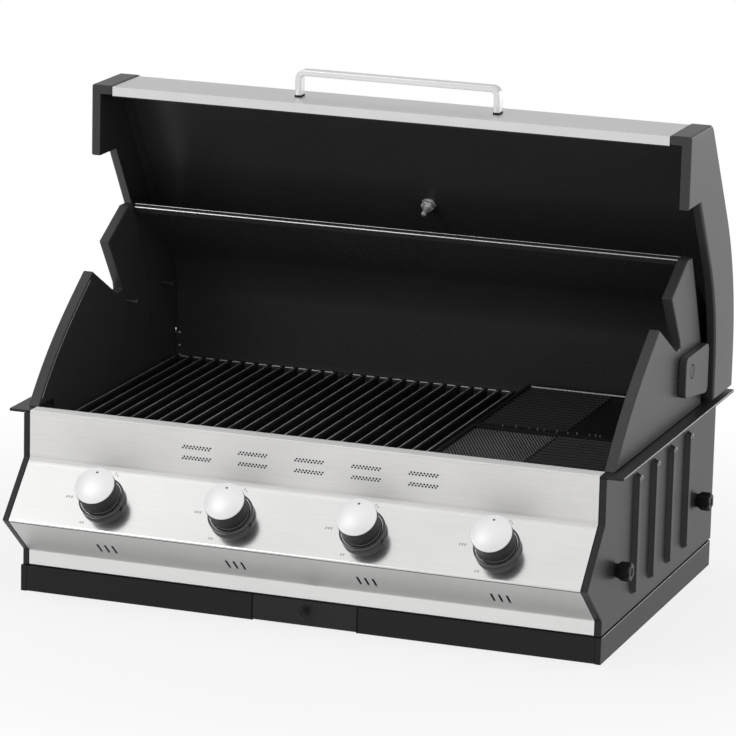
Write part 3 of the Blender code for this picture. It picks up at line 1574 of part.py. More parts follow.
def hinge_arm(name, side, pivot, material):
    low = CHEEK_OUTER + GAP
    loops = prism(arm_pad_ring(), low, arm_outer(), along_x, ARM_CHAMFER)
    arm = solid(name, [[(side * x, y, z) for x, y, z in loop] for loop in loops], material)
    ring = arm_strap_ring()
    strap = solids("strap_" + name, [[along_x(ring, side * (low + GAP / 2)), along_x(ring, side * (low + ARM_STRAP))]])
    join(arm, strap)
    bore = circle((0, 0), BOLT_RADIUS + GAP, SMALL_ROUND)
    recess = circle((0, 0), BOLT_RECESS_RADIUS, TUBE_ROUND)
    through = [along_x(bore, side * (CHEEK_OUTER - OVERRUN)), along_x(bore, side * (arm_outer() - GAP))]
    wide = [
        along_x(recess, side * (arm_outer() - BOLT_RECESS)),
        along_x(recess, side * (arm_outer() + OVERRUN)),
    ]
    holes = solids("bore_" + name, [through])
    sink = solids("recess_" + name, [wide])
    cut(arm, sink)
    cut(arm, holes)
    for piece in (arm, strap, holes, sink):
        piece.parent = pivot
    return arm


def hinge_bolt(name, side, material):
    """A shoulder bolt through the arm into a blind hole in the cheek."""
    head_low = arm_outer() - BOLT_RECESS + GAP
    end = CHEEK_INNER + BOLT_BLIND + GAP
    profile = [
        (0, head_low + BOLT_HEAD),
        (BOLT_HEAD_RADIUS - GAP, head_low + BOLT_HEAD),
        (BOLT_HEAD_RADIUS, head_low + BOLT_HEAD - GAP),
        (BOLT_HEAD_RADIUS, head_low),
        (BOLT_RADIUS, head_low),
        (BOLT_RADIUS, end),
        (0, end),
    ]
    bolt = turned(name, profile, material, TUBE_ROUND)
    bolt.data.transform(Matrix.Rotation(side * math.pi / 2, 4, "Y"))
    bolt.location = (0, HINGE_Y, HINGE_Z)
    smooth(bolt)
    return bolt


def hood_handle(pivot, material):
    """A flat bar bent into a U, standing on the hood's front face."""
    face_y = -HOOD_REACH - GAP
    half = HANDLE_SPAN / 2
    path = [
        (-half, face_y),
        (-half, face_y - HANDLE_HEIGHT),
        (half, face_y - HANDLE_HEIGHT),
        (half, face_y),
    ]
    ring = sheet_ring(rounded(path, HANDLE_BEND, HANDLE_STEPS), HANDLE_THICKNESS)
    low = -HANDLE_PLACE - HANDLE_WIDTH / 2
    loops = prism(ring, low, low + HANDLE_WIDTH, along_z)
    bar = solid("hood_handle", loops, material)
    bar.parent = pivot
    smooth(bar)
    return bar


# Assembly


def clear_scene():
    for obj in list(bpy.data.objects):
        bpy.data.objects.remove(obj, do_unlink=True)


def paints():
    return {
        "steel": paint("brushed_steel", (0.60, 0.59, 0.575), 0.34, 1.0),
        "bright": paint("bright_steel", (0.72, 0.71, 0.70), 0.18, 1.0),
        "coat": paint("black_coat", (0.035, 0.035, 0.037), 0.48),
        "enamel": paint("black_enamel", (0.010, 0.010, 0.011), 0.12),
        "iron": paint("cast_iron", (0.016, 0.016, 0.016), 0.42),
        "moulding": paint("black_moulding", (0.022, 0.022, 0.023), 0.40),
        "silver": paint("satin_silver", (0.80, 0.80, 0.79), 0.26, 0.85),
        "chrome": paint("chrome", (0.75, 0.75, 0.75), 0.10, 1.0),
        "brass": paint("brass", (0.62, 0.46, 0.20), 0.35, 1.0),
        "burner": paint("burner_steel", (0.42, 0.40, 0.38), 0.45, 1.0),
    }


def build_cabinet(look):
    base_tray(look["coat"])
    cabinet_back(look["coat"])
    control_panel(look["steel"])
    worktop_flange(look["coat"])
    for name, side in (("left", -1), ("right", 1)):
        side_panel("side_panel_" + name, side, look["coat"])
        plinth_panel("plinth_panel_" + name, side, look["coat"])
        for number, place_y in enumerate(screw_places(), 1):
            hand_screw(f"hand_screw_{name}_{number}", side, place_y, look["moulding"])


def build_firebox(look):
    firebox_tub(look["enamel"])
    grate_rail(look["bright"])
    left = -COOK_HALF
    middle = left + BAR_PITCH * BARS_PER_GRATE + PIECE_SPACE
    cooking_grate("cooking_grate_left", left, look["iron"])
    cooking_grate("cooking_grate_middle", middle, look["iron"])
    plates = COOK_HALF - GRIDDLE_WIDTH
    front_end = FASCIA_Y + GRIDDLE_SPLIT - GRIDDLE_SPACE / 2
    rear_start = front_end + GRIDDLE_SPACE
    griddle("griddle_front", plates, COOK_HALF, COOK_FRONT_Y, front_end, 1, look["iron"])
    griddle("griddle_rear", plates, COOK_HALF, rear_start, COOK_BACK_Y, -1, look["iron"])
    for number, centre_x in enumerate(knob_places(), 1):
        burner(f"burner_{number}", centre_x, look["burner"])
        flame_tamer(f"flame_tamer_{number}", centre_x, look["enamel"])


def build_gas_line(look):
    gas_manifold(look["brass"])
    gas_inlet_pipe(look["brass"])
    for number, centre_x in enumerate(knob_places(), 1):
        pivot = frame(f"knob_axis_{number}", (centre_x, KNOB_Y, KNOB_Z), FACE_TILT)
        valve_stem(f"valve_stem_{number}", pivot, look["brass"])
        knob_bezel(f"knob_bezel_{number}", pivot, look["chrome"])
        knob_skirt(f"knob_skirt_{number}", pivot, look["moulding"])
        knob_cap(f"knob_cap_{number}", pivot, look["silver"])


def build_drawer(look):
    pivot = frame("drawer_slide_axis", (0, FASCIA_Y - PLINTH_STEP, 0))
    grease_drawer(pivot, look["coat"])
    drawer_knob(pivot, look["moulding"])


def build_chamber(look):
    back_panel(look["enamel"])
    back_trim(look["bright"])
    for name, side in (("left", -1), ("right", 1)):
        cheek("cheek_" + name, side, look["coat"])
        hinge_bolt("hinge_bolt_" + name, side, look["coat"])


def build_hood(look):
    pivot = frame("hood_hinge_axis", (0, HINGE_Y, HINGE_Z), -HOOD_OPENING)
    hood_skin(pivot, look["steel"])
    hood_liner(pivot, look["enamel"])
    hood_handle(pivot, look["silver"])
    thermometer(pivot, look["bright"])
    for name, side in (("left", -1), ("right", 1)):
        hood_cap("hood_cap_" + name, side, pivot, look["moulding"])
        hinge_arm("hinge_arm_" + name, side, pivot, look["coat"])


def main():
    clear_scene()
    look = paints()
    build_cabinet(look)
    build_firebox(look)
    build_gas_line(look)
    build_drawer(look)
    build_chamber(look)
    build_hood(look)


main()
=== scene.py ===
"""Looks of the built-in gas grill: finishes, smooth turned pieces, small fittings, studio and camera."""

import json
import math

import bmesh
import bpy
from mathutils import Matrix, Vector

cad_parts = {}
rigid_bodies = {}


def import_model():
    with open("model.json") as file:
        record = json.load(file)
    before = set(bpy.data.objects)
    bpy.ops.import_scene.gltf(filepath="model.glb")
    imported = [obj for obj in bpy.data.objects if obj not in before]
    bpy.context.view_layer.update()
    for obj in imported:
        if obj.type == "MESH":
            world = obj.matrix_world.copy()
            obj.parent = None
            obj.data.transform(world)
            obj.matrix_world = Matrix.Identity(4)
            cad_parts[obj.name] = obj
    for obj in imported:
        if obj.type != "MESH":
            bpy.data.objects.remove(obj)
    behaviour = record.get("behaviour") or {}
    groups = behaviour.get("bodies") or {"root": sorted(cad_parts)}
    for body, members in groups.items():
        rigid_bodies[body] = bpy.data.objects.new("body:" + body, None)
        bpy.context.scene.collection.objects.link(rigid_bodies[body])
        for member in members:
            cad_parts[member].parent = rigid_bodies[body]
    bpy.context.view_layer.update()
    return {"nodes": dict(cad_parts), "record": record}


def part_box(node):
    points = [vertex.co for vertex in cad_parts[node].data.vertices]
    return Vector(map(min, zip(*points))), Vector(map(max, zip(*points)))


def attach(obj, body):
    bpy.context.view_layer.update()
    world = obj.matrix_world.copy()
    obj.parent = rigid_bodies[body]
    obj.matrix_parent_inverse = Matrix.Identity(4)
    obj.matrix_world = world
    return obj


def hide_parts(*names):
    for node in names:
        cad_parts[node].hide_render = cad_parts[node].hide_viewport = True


for old in list(bpy.data.objects):
    bpy.data.objects.remove(old)
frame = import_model()

# Shared sizes, in metres, with counts and angles
LIFT = 0.0001
ROUND = 64
SMOOTH_ROUND = 96
FINE = 24
BEAD_SIDES = 8
DOME_STEPS = 4
MERGE = 0.00001
SMOOTH_ANGLE = math.radians(31)
FASCIA_STEP = 0.0027
FASCIA_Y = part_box("worktop_flange")[0].y - FASCIA_STEP

# Rounds on the edges of sheet parts, by the start of the node's name
EDGE_ROUNDS = {
    "side_panel": 0.0007,
    "cheek": 0.0007,
    "hood_cap": 0.0009,
    "hinge_arm": 0.0004,
    "plinth_panel": 0.0004,
}
ROUND_SEGMENTS = 2

# Camera, as fitted to the photograph
CAMERA_PLACE = (1.921049, -5.378845, 1.673252)
CAMERA_YAW = 0.345019
CAMERA_PITCH = 0.239106
CAMERA_ROLL = 0.023702
CAMERA_LENS = 221.56
CAMERA_SENSOR = 36.0
CAMERA_REACH = 100

# World: strength of its light on things, and its tone in mirrors, as (height of the direction, tone)
WORLD_LIGHT = 0.80
BAND_STOPS = ((0.02, 1.0), (0.14, 0.60), (0.45, 0.60), (0.75, 1.0))

# Studio: the fade is (distance where it starts, distance where it ends), the look as in the finish table
FLOOR_RADIUS = 16.0
FLOOR_DROP = 0.0002
FLOOR_RINGS = 12
FLOOR_SIDES = 48
FLOOR_FADE = (0.50, 1.10)
FLOOR_VEIL = 0.80
FLOOR_LOOK = ((0.84,) * 3, (0.86,) * 3, (0.7, 0.8), 20, 0.00001, 0.0, 0.1)

# Lamps: name, place, target, size and power
LAMPS = (
    ("key_box", (-1.15, -1.60, 1.65), (-0.1, -0.1, 0.25), (0.8, 0.8), 6.5),
    ("top_box", (-1.25, -0.82, 1.95), (-0.4, -0.28, 0.14), (0.6, 0.9), 0.35),
    ("fill_box", (3.4, -1.0, 1.8), (0.4, 0, 0.2), (1.6, 1.6), 6),
    ("side_box", (1.9, 3.3, 0.7), (0.4, 0.1, 0.3), (1.2, 1.0), 9),
)

# Sloping face of the control panel
FACE_TILT = math.atan2(0.068, 0.0655)
KNOB_COUNT = 4
KNOB_PITCH = 0.176
KNOB_MIDDLE = ((KNOB_COUNT - 1) / 2) * KNOB_PITCH
KNOB_FACE_Y = -0.280691
KNOB_FACE_Z = 0.142504

# Textures: patches to a metre, finer detail, the shares of patches and grain, and the range that is used
PATCHES = 9.0
PATCH_DETAIL = 3.0
GRAIN_DETAIL = 4.0
PATCH_SHARE = 0.5
GRAIN_SHARE = 0.5
TEXTURE_LOW = 0.3
TEXTURE_HIGH = 0.7
ALONG_X = (0.02, 1, 1)
ALL_WAYS = (1, 1, 1)


# Finishes


def link(tree, source, socket, target, entry):
    tree.links.new(source.outputs[socket], target.inputs[entry])


def sum_node(tree, operation):
    node = tree.nodes.new("ShaderNodeMath")
    node.operation = operation
    return node


def coordinates(tree, stretch):
    """Object coordinates, stretched along the grain."""
    place = tree.nodes.new("ShaderNodeTexCoord")
    mapping = tree.nodes.new("ShaderNodeMapping")
    mapping.inputs["Scale"].default_value = stretch
    link(tree, place, "Object", mapping, "Vector")
    return mapping


def noise(tree, source, scale, detail):
    texture = tree.nodes.new("ShaderNodeTexNoise")
    texture.inputs["Scale"].default_value = scale
    texture.inputs["Detail"].default_value = detail
    link(tree, source, "Vector", texture, "Vector")
    return texture


def spread(tree, source, low, high):
    """A texture's middle range turned into the range from low to high."""
    node = tree.nodes.new("ShaderNodeMapRange")
    node.inputs["From Min"].default_value = TEXTURE_LOW
    node.inputs["From Max"].default_value = TEXTURE_HIGH
    node.inputs["To Min"].default_value = low
    node.inputs["To Max"].default_value = high
    link(tree, source, "Fac", node, "Value")
    return node


def blend(tree, patches, grains):
    """Patches and grain added up, each by its share."""
    grain_part = sum_node(tree, "MULTIPLY")
    grain_part.inputs[1].default_value = GRAIN_SHARE
    link(tree, spread(tree, grains, 0.0, 1.0), "Result", grain_part, 0)
    both = sum_node(tree, "MULTIPLY_ADD")
    both.inputs[1].default_value = PATCH_SHARE
    link(tree, spread(tree, patches, 0.0, 1.0), "Result", both, 0)
    link(tree, grain_part, "Value", both, 2)
    return both


def finish(name, dark, light, rough, grain, relief, metallic=0.0, specular=0.5, stretch=ALL_WAYS):
    """A procedural finish: patchy colour and gloss with a fine relief, in the object's own coordinates."""
    material = bpy.data.materials.new(name)
    material.use_nodes = True
    tree = material.node_tree
    shader = tree.nodes["Principled BSDF"]
    shader.inputs["Metallic"].default_value = metallic
    shader.inputs["Specular IOR Level"].default_value = specular
    patches = noise(tree, coordinates(tree, ALL_WAYS), PATCHES, PATCH_DETAIL)
    grains = noise(tree, coordinates(tree, stretch), grain, GRAIN_DETAIL)
    mix = tree.nodes.new("ShaderNodeMix")
    mix.data_type = "RGBA"
    mix.inputs["A"].default_value = (*dark, 1)
    mix.inputs["B"].default_value = (*light, 1)
    link(tree, blend(tree, patches, grains), "Value", mix, "Factor")
    link(tree, mix, "Result", shader, "Base Color")
    link(tree, spread(tree, grains, *rough), "Result", shader, "Roughness")
    bump = tree.nodes.new("ShaderNodeBump")
    bump.inputs["Distance"].default_value = relief
    bump.inputs["Strength"].default_value = 1.0
    link(tree, grains, "Fac", bump, "Height")
    link(tree, bump, "Normal", shader, "Normal")
    return material


# Name: dark and light grey, gloss range, grain per metre, relief, metallic, specular level, and any stretch
FINISH_TABLE = {
    "brushed_steel": (0.68, 0.76, (0.34, 0.44), 900, 0.000030, 1.0, 0.50, ALONG_X),
    "bright_steel": (0.66, 0.78, (0.22, 0.32), 900, 0.000006, 1.0, 0.50, ALONG_X),
    # Light steel of the lines painted as highlights on the rolled edge
    "line_shine": (0.42, 0.54, (0.28, 0.38), 300, 0.000006, 1.0, 0.50),
    # Light steel of the rail and the corner rivets, also used for pale strips painted as highlights at the
    # rear of the grates and the griddle
    "rail_steel_and_shine": (0.50, 0.66, (0.45, 0.55), 600, 0.000010, 0.4, 0.50, ALONG_X),
    "black_coat": (0.018, 0.025, (0.32, 0.42), 1400, 0.000016, 0.0, 0.24),
    # Lit and shaded copies of the black coat: painted light on the cheeks and hinge arms, painted shade on
    # the base and plinth
    "black_coat_lit": (0.038, 0.050, (0.34, 0.44), 1400, 0.000016, 0.0, 0.32),
    "black_coat_shaded": (0.015, 0.021, (0.34, 0.44), 1400, 0.000016, 0.0, 0.18),
    "black_enamel": (0.040, 0.050, (0.26, 0.34), 300, 0.000006, 0.0, 0.25),
    "knob_black": (0.010, 0.014, (0.32, 0.42), 1800, 0.000020, 0.0, 0.22),
    "cast_iron": (0.008, 0.018, (0.40, 0.55), 700, 0.000120, 0.0, 0.30),
    "iron_dark": (0.006, 0.012, (0.45, 0.60), 700, 0.000060, 0.0, 0.20),
    # Pale finish of the bars' crests, painted as their highlights
    "bar_crest_shine": (0.220, 0.620, (0.40, 0.55), 40, 0.000020, 0.2, 0.50),
    "griddle_grain": (0.060, 0.240, (0.40, 0.55), 900, 0.000080, 0.0, 0.35),
    "black_moulding": (0.026, 0.032, (0.34, 0.44), 1800, 0.000030, 0.0, 0.50),
    "satin_silver": (0.78, 0.86, (0.28, 0.36), 1200, 0.000004, 0.75, 0.50),
    "satin_cap": (0.88, 0.94, (0.46, 0.54), 1200, 0.000004, 0.55, 0.50),
    # The knobs' rings: chrome darkened as painted shade, and a bright copy of it painted as the highlight on
    # their inner slopes
    "chrome": (0.06, 0.10, (0.06, 0.12), 600, 0.000002, 1.0, 0.50),
    "mirror": (0.78, 0.86, (0.06, 0.10), 600, 0.000002, 1.0, 0.50),
    # Pale finishes for thin beads painted as highlights on ribs, edges and rims, and as glints on the
    # griddle's lugs
    "rib_shine": (0.150, 0.190, (0.36, 0.46), 1400, 0.000010, 0.0, 0.50),
    "edge_shine": (0.30, 0.46, (0.30, 0.40), 400, 0.000004, 0.6, 0.50),
    "burner_steel": (0.34, 0.46, (0.36, 0.50), 400, 0.000020, 1.0, 0.50),
    # Dark paint for the dial's marks, also a line of painted shade under the panel's nose
    "mark_paint_and_shade": (0.050, 0.080, (0.50, 0.60), 900, 0.000005, 0.0, 0.30),
    "print_grey": (0.340, 0.440, (0.50, 0.60), 900, 0.000005, 0.0, 0.30),
    # Dark finish painted as the shade in holes and gaps
    "hole_and_gap_shade": (0.004, 0.008, (0.70, 0.80), 900, 0.000005, 0.0, 0.10),
    "pointer_grey": (0.060, 0.100, (0.50, 0.60), 900, 0.000005, 0.0, 0.30),
    "rubber": (0.008, 0.014, (0.60, 0.70), 900, 0.000020, 0.0, 0.20),
    "dial_white": (0.70, 0.78, (0.40, 0.50), 300, 0.000005, 0.0, 0.40),
}
FINISHES = {}
for finish_name, (dark_grey, light_grey, *others) in FINISH_TABLE.items():
    FINISHES[finish_name] = finish(finish_name, (dark_grey,) * 3, (light_grey,) * 3, *others)
# The two finishes with a tint, as (dark colour, light colour) and then as in the table
BRASS_LOOK = ((0.56, 0.40, 0.16), (0.68, 0.50, 0.22), (0.28, 0.40), 500, 0.00001, 1.0)
PANEL_LOOK = ((0.83, 0.824, 0.818), (0.91, 0.904, 0.896), (0, 1), 900, 0.00001, 1.0, 0.5, ALONG_X)
FINISHES["brass"] = finish("brass", *BRASS_LOOK)
FINISHES["panel_steel"] = finish("panel_steel", *PANEL_LOOK)
# By height: how rough the panel's steel is, and how much of its colour shows, which is painted shade
PANEL_GLOSS = (
    (0.054, 0.36),
    (0.058, 0.50),
    (0.105, 0.50),
    (0.113, 0.17),
    (0.170, 0.17),
    (0.176, 0.80),
    (0.239, 0.80),
)
# Painted shade: the steel darkened most under the sloping face, less on the face, the lowest strip and the
# top edge
PANEL_SHADE = (
    (0.054, 0.90),
    (0.058, 0.66),
    (0.105, 0.68),
    (0.113, 0.84),
    (0.172, 0.84),
    (0.184, 1.0),
    (0.236, 1.0),
    (0.238, 0.95),
)
CURVE_SPAN = 0.25
# Nodes whose finish isn't their slot's
NODE_FINISHES = {
    "grate_rail": "rail_steel_and_shine",
    "control_panel": "panel_steel",
    "griddle_rear": "iron_dark",
    # Base and plinth in a darker copy of the black coat as painted shade, hinge arms in a lighter copy as
    # painted light
    "base_tray": "black_coat_shaded",
    "plinth_panel_left": "black_coat_shaded",
    "plinth_panel_right": "black_coat_shaded",
    "hinge_arm_left": "black_coat_lit",
    "hinge_arm_right": "black_coat_lit",
}


def ramp_of(tree, stops, span=1.0):
    """A ramp of greys through the given (place, value) stops, where span is the place at its end."""
    ramp = tree.nodes.new("ShaderNodeValToRGB")
    elements = ramp.color_ramp.elements
    for place, _ in stops[2:]:
        elements.new(place / span)
    for element, (place, value) in zip(elements, stops):
        element.position = place / span
        element.color = (value, value, value, 1)
    return ramp


def by_height(tree, stops):
    """A value that follows the height above the base through the given (height, value) stops."""
    place = tree.nodes.new("ShaderNodeTexCoord")
    parts = tree.nodes.new("ShaderNodeSeparateXYZ")
    link(tree, place, "Object", parts, "Vector")
    share = sum_node(tree, "DIVIDE")
    share.inputs[1].default_value = CURVE_SPAN
    link(tree, parts, "Z", share, 0)
    ramp = ramp_of(tree, stops, CURVE_SPAN)
    link(tree, share, "Value", ramp, "Fac")
    return ramp


def grade_panel():
    """Rougher steel on the upper strip than on the sloping face, and painted shade that darkens the steel's
    colour by height, most under the face.
    """
    tree = FINISHES["panel_steel"].node_tree
    shader = tree.nodes["Principled BSDF"]
    link(tree, by_height(tree, PANEL_GLOSS), "Color", shader, "Roughness")
    plain = shader.inputs["Base Color"].links[0].from_socket
    shaded = tree.nodes.new("ShaderNodeMix")
    shaded.data_type = "RGBA"
    shaded.blend_type = "MULTIPLY"
    shaded.inputs["Factor"].default_value = 1.0
    tree.links.new(plain, shaded.inputs["A"])
    link(tree, by_height(tree, PANEL_SHADE), "Color", shaded, "B")
    link(tree, shaded, "Result", shader, "Base Color")


grade_panel()


# Helpers for objects and meshes


def placed(name, data):
    """A new object in the scene."""
    obj = bpy.data.objects.new(name, data)
    bpy.context.scene.collection.objects.link(obj)
    return obj


def new_piece(name, bm, look, body):
    """A piece that moves with its body, in the finish named look."""
    bmesh.ops.recalc_face_normals(bm, faces=bm.faces)
    mesh = bpy.data.meshes.new(name)
    bm.to_mesh(mesh)
    bm.free()
    obj = placed(name, mesh)
    mesh.materials.append(FINISHES[look])
    mesh.shade_smooth()
    mesh.set_sharp_from_angle(angle=SMOOTH_ANGLE)
    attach(obj, body)
    return obj


def circle(radius, count=ROUND, start=0.0):
    points = []
    for step in range(count):
        turn = start + math.tau * step / count
        points.append((radius * math.cos(turn), radius * math.sin(turn)))
    return points


def add_rings(bm, rings, capped=True):
    """Joins rings of equal length by quads, and caps their two ends."""
    rows = [[bm.verts.new(point) for point in ring] for ring in rings]
    for low, high in zip(rows, rows[1:]):
        for index in range(len(low)):
            after = (index + 1) % len(low)
            bm.faces.new((low[index], low[after], high[after], high[index]))
    if capped:
        bm.faces.new(rows[0])
        bm.faces.new(rows[-1])
    return rows


def add_prism(bm, outline, start, end):
    """A straight piece along X, from an outline of (y, z) points."""
    add_rings(bm, [[(x, y, z) for y, z in outline] for x in (start, end)])


def shifted(points, across, up):
    return [(across + a, up + b) for a, b in points]


def add_turned(bm, profile, matrix, count=ROUND, ripple=None):
    """A turned shape from (radius, height) points; ripple(turn, radius) may flute it."""
    rows = []
    for radius, height in profile:
        if radius == 0:
            rows.append([bm.verts.new(matrix @ Vector((0, 0, height)))] * count)
            continue
        row = []
        for step in range(count):
            turn = math.tau * step / count
            reach = ripple(turn, radius) if ripple else radius
            point = Vector((reach * math.cos(turn), reach * math.sin(turn), height))
            row.append(bm.verts.new(matrix @ point))
        rows.append(row)
    pairs = list(zip(rows, rows[1:]))
    if profile[0][0] and profile[-1][0]:
        pairs.append((rows[-1], rows[0]))
    for low, high in pairs:
        for index in range(count):
            after = (index + 1) % count
            corners = [low[index], low[after], high[after], high[index]]
            unique = [vert for place, vert in enumerate(corners) if vert not in corners[:place]]
            if len(unique) > 2:
                bm.faces.new(unique)


def turned_piece(name, profile, matrix, look, body, slot=None, count=ROUND, ripple=None):
    bm = bmesh.new()
    add_turned(bm, profile, matrix, count, ripple)
    return new_piece(name, bm, look, body)


def arc(centre, radius, start, end, steps):
    """Profile points along an arc, angles in degrees."""
    points = []
    for step in range(steps + 1):
        turn = math.radians(start + (end - start) * step / steps)
        points.append((centre[0] + radius * math.cos(turn), centre[1] + radius * math.sin(turn)))
    return points


def bend_of(radius, height):
    """Radius of the ball that a dome of this base radius and height is cut from."""
    return (radius**2 + height**2) / (2 * height)


def aimed(place, direction):
    """A frame at a place whose Z points in the given direction."""
    return Matrix.Translation(place) @ Vector(direction).to_track_quat("Z", "Y").to_matrix().to_4x4()


def dome(bm, place, direction, radius, height):
    bend = bend_of(radius, height)
    reach = math.degrees(math.asin(radius / bend))
    profile = [(0, -height), (radius, -height), (radius, 0)]
    profile += arc((0, height - bend), bend, 90 - reach, 90, DOME_STEPS)[1:-1] + [(0, height)]
    add_turned(bm, profile, aimed(place, direction), FINE)


def strip(bm, start, end, radius):
    """A thin round bead between two points."""
    way = Vector(end) - Vector(start)
    matrix = aimed(start, way)
    ends = (0, way.length)
    add_rings(bm, [[matrix @ Vector((a, b, z)) for a, b in circle(radius, BEAD_SIDES)] for z in ends])


def soften(node, edge):
    """Smooth shading over a node's shallow edges and small rounds on its sharp ones, by modifiers alone."""
    mesh = node.data
    for name in ("custom_normal", "sharp_edge", "sharp_face"):
        if name in mesh.attributes:
            mesh.attributes.remove(mesh.attributes[name])
    mesh.shade_smooth()
    weld = node.modifiers.new("weld", "WELD")
    weld.merge_threshold = MERGE
    if edge:
        rounds = node.modifiers.new("rounds", "BEVEL")
        rounds.width = edge
        rounds.segments = ROUND_SEGMENTS
        rounds.limit_method = "ANGLE"
        rounds.angle_limit = SMOOTH_ANGLE
        rounds.use_clamp_overlap = False
        rounds.miter_outer = "MITER_ARC"
    else:
        split = node.modifiers.new("split", "EDGE_SPLIT")
        split.split_angle = SMOOTH_ANGLE
        split.use_edge_sharp = False
    node.modifiers.new("weighted", "WEIGHTED_NORMAL")


for record_part in frame["record"]["subparts"]:
    node_name = record_part["node"]
    cad_node = frame["nodes"][node_name]
    cad_node.data.materials.clear()
    cad_node.data.materials.append(FINISHES[NODE_FINISHES.get(node_name, record_part["material_slot"])])
    soften(cad_node, EDGE_ROUNDS.get(node_name.rsplit("_", 1)[0], 0))


# Cheeks, whose long front edge is gently bowed

CHEEK_FACE = 0.3793
CHEEK_SLAB = 0.005
CHEEK_FOOT_BACK = 0.027
CHEEK_PEAK_BACK = 0.196
CHEEK_PEAK_RISE = 0.1432
CHEEK_BOW = 0.0095
CHEEK_FOOT_FORWARD = 0.004
BOW_SKEW = 0.85
BOW_STEPS = 16
BOW_NEAR = 0.004
FLAT_ANGLE = 0.01
HEM_BACK = 0.0034
HEM_RADIUS = 0.00045


def front_edge(foot_z):
    """Foot and peak of the cheek's front edge, as (y, z)."""
    foot = Vector((FASCIA_Y + CHEEK_FOOT_BACK, foot_z))
    peak = Vector((FASCIA_Y + CHEEK_PEAK_BACK, foot_z + CHEEK_PEAK_RISE))
    return foot, peak


def bowed(point, foot, peak):
    """Where a point near the straight edge lies once the edge is bowed."""
    along = peak - foot
    share = min(max((point - foot).dot(along) / along.length_squared, 0.0), 1.0)
    out = Vector((-along.y, along.x)).normalized() * CHEEK_BOW * math.sin(math.pi * share**BOW_SKEW)
    forward = Vector((CHEEK_FOOT_FORWARD * (1 - share), 0))
    return point + out - forward


def cheek(side):
    """The cheek's own mesh with its front edge cut into steps and bowed, and a painted highlight along the
    hem inside it.
    """
    node = "cheek_" + side
    bm = bmesh.new()
    bm.from_mesh(frame["nodes"][node].data)
    bmesh.ops.remove_doubles(bm, verts=bm.verts, dist=MERGE)
    bmesh.ops.dissolve_limit(bm, angle_limit=FLAT_ANGLE, verts=bm.verts, edges=bm.edges)
    slab = [vert for vert in bm.verts if abs(vert.co.x) > CHEEK_FACE + CHEEK_SLAB]
    foot, peak = front_edge(min(vert.co.z for vert in slab))
    along = (peak - foot).normalized()
    length = (peak - foot).length

    def near(vert):
        offset = Vector((vert.co.y, vert.co.z)) - foot
        beside = abs(offset.x * along.y - offset.y * along.x)
        return beside < BOW_NEAR and offset.dot(along) < length + BOW_NEAR

    edges = [edge for edge in bm.edges if all(map(near, edge.verts)) and edge.calc_length() > length / 2]
    bmesh.ops.subdivide_edges(bm, edges=edges, cuts=BOW_STEPS - 1, use_grid_fill=True)
    for vert in filter(near, bm.verts):
        vert.co.y, vert.co.z = bowed(Vector((vert.co.y, vert.co.z)), foot, peak)
    # The cheek's plate in a lighter copy of the black coat, as painted light
    piece = new_piece("cheek_plate_" + side, bm, "black_coat_lit", "cabinet")
    soften(piece, EDGE_ROUNDS["cheek"])
    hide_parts(node)
    # A thin pale bead painted as the highlight along the hem
    x = CHEEK_FACE if side == "right" else -CHEEK_FACE
    inward = Vector((along.y, -along.x)) * HEM_BACK
    rings = []
    for step in range(1, BOW_STEPS):
        y, z = bowed(foot + along * length * step / BOW_STEPS, foot, peak) + inward
        rings.append([(x + a, y + b * along.y, z - b * along.x) for a, b in circle(HEM_RADIUS, BEAD_SIDES)])
    bm = bmesh.new()
    add_rings(bm, rings)
    new_piece("cheek_hem_" + side, bm, "edge_shine", "cabinet")


for cheek_side in ("left", "right"):
    cheek(cheek_side)


# Knobs: a chrome ring, a knurled skirt and a domed cap, turned about the stem's axis

# Chrome ring darkened as painted shade, and a bright copy of its chrome on its inner slope as painted
# highlight
BEZEL_RADIUS = 0.0299
BEZEL_BASE = 0.0272
BEZEL_BORE = 0.010
BEZEL_RISE = 0.0088
BEZEL_LIP = 0.0022
BEZEL_TAPER = 0.0002
BEZEL_SHOULDER = 0.0040
BEZEL_FLOOR = 0.0015
SLOPE_START = 75
SLOPE_SKIN = 0.0006
# Skirt, hollow round a hub that takes the stem
SKIRT_TOP = 0.0262
SKIRT_FOOT = 0.0247
SKIRT_HEIGHT = 0.0254
SKIRT_SHOULDER = 0.0015
SKIRT_NECK = 0.0007
SKIRT_EDGE = 0.0005
SKIRT_TAPER_TOP = 0.0022
SKIRT_TAPER_FOOT = 0.0024
SKIRT_ROUND = 0.0010
SKIRT_WALL = 0.003
SKIRT_HOLLOW = 0.0154
HUB_RADIUS = 0.009
HUB_LIFT = 0.0002
STEM_BORE = 0.0043
STEM_ROOF = 0.005
KNURLS = 48
KNURL_DEPTH = 0.0003
KNURL_ROUND = 240
RIM_RADIUS = 0.00035
RIM_RISE = 0.0018
# Cap and its pointer; skirt and cap stand further out than the solids by the lift
KNOB_LIFT = 0.0025
CAP_RADIUS = 0.0260
CAP_EDGE = 0.0022
CAP_EXTRA = 0.0006
CAP_ROUND = 0.0006
CAP_SHOULDER = 0.0009
CAP_SHOULDER_DROP = 0.0004
CAP_SHOULDER_END = 70
CAP_DOME_SHARE = 0.95
POINTER_OUT = 0.0168
POINTER_RADIUS = 0.0016
POINTER_FLAT = 0.0012
POINTER_DEPTH = 0.0003

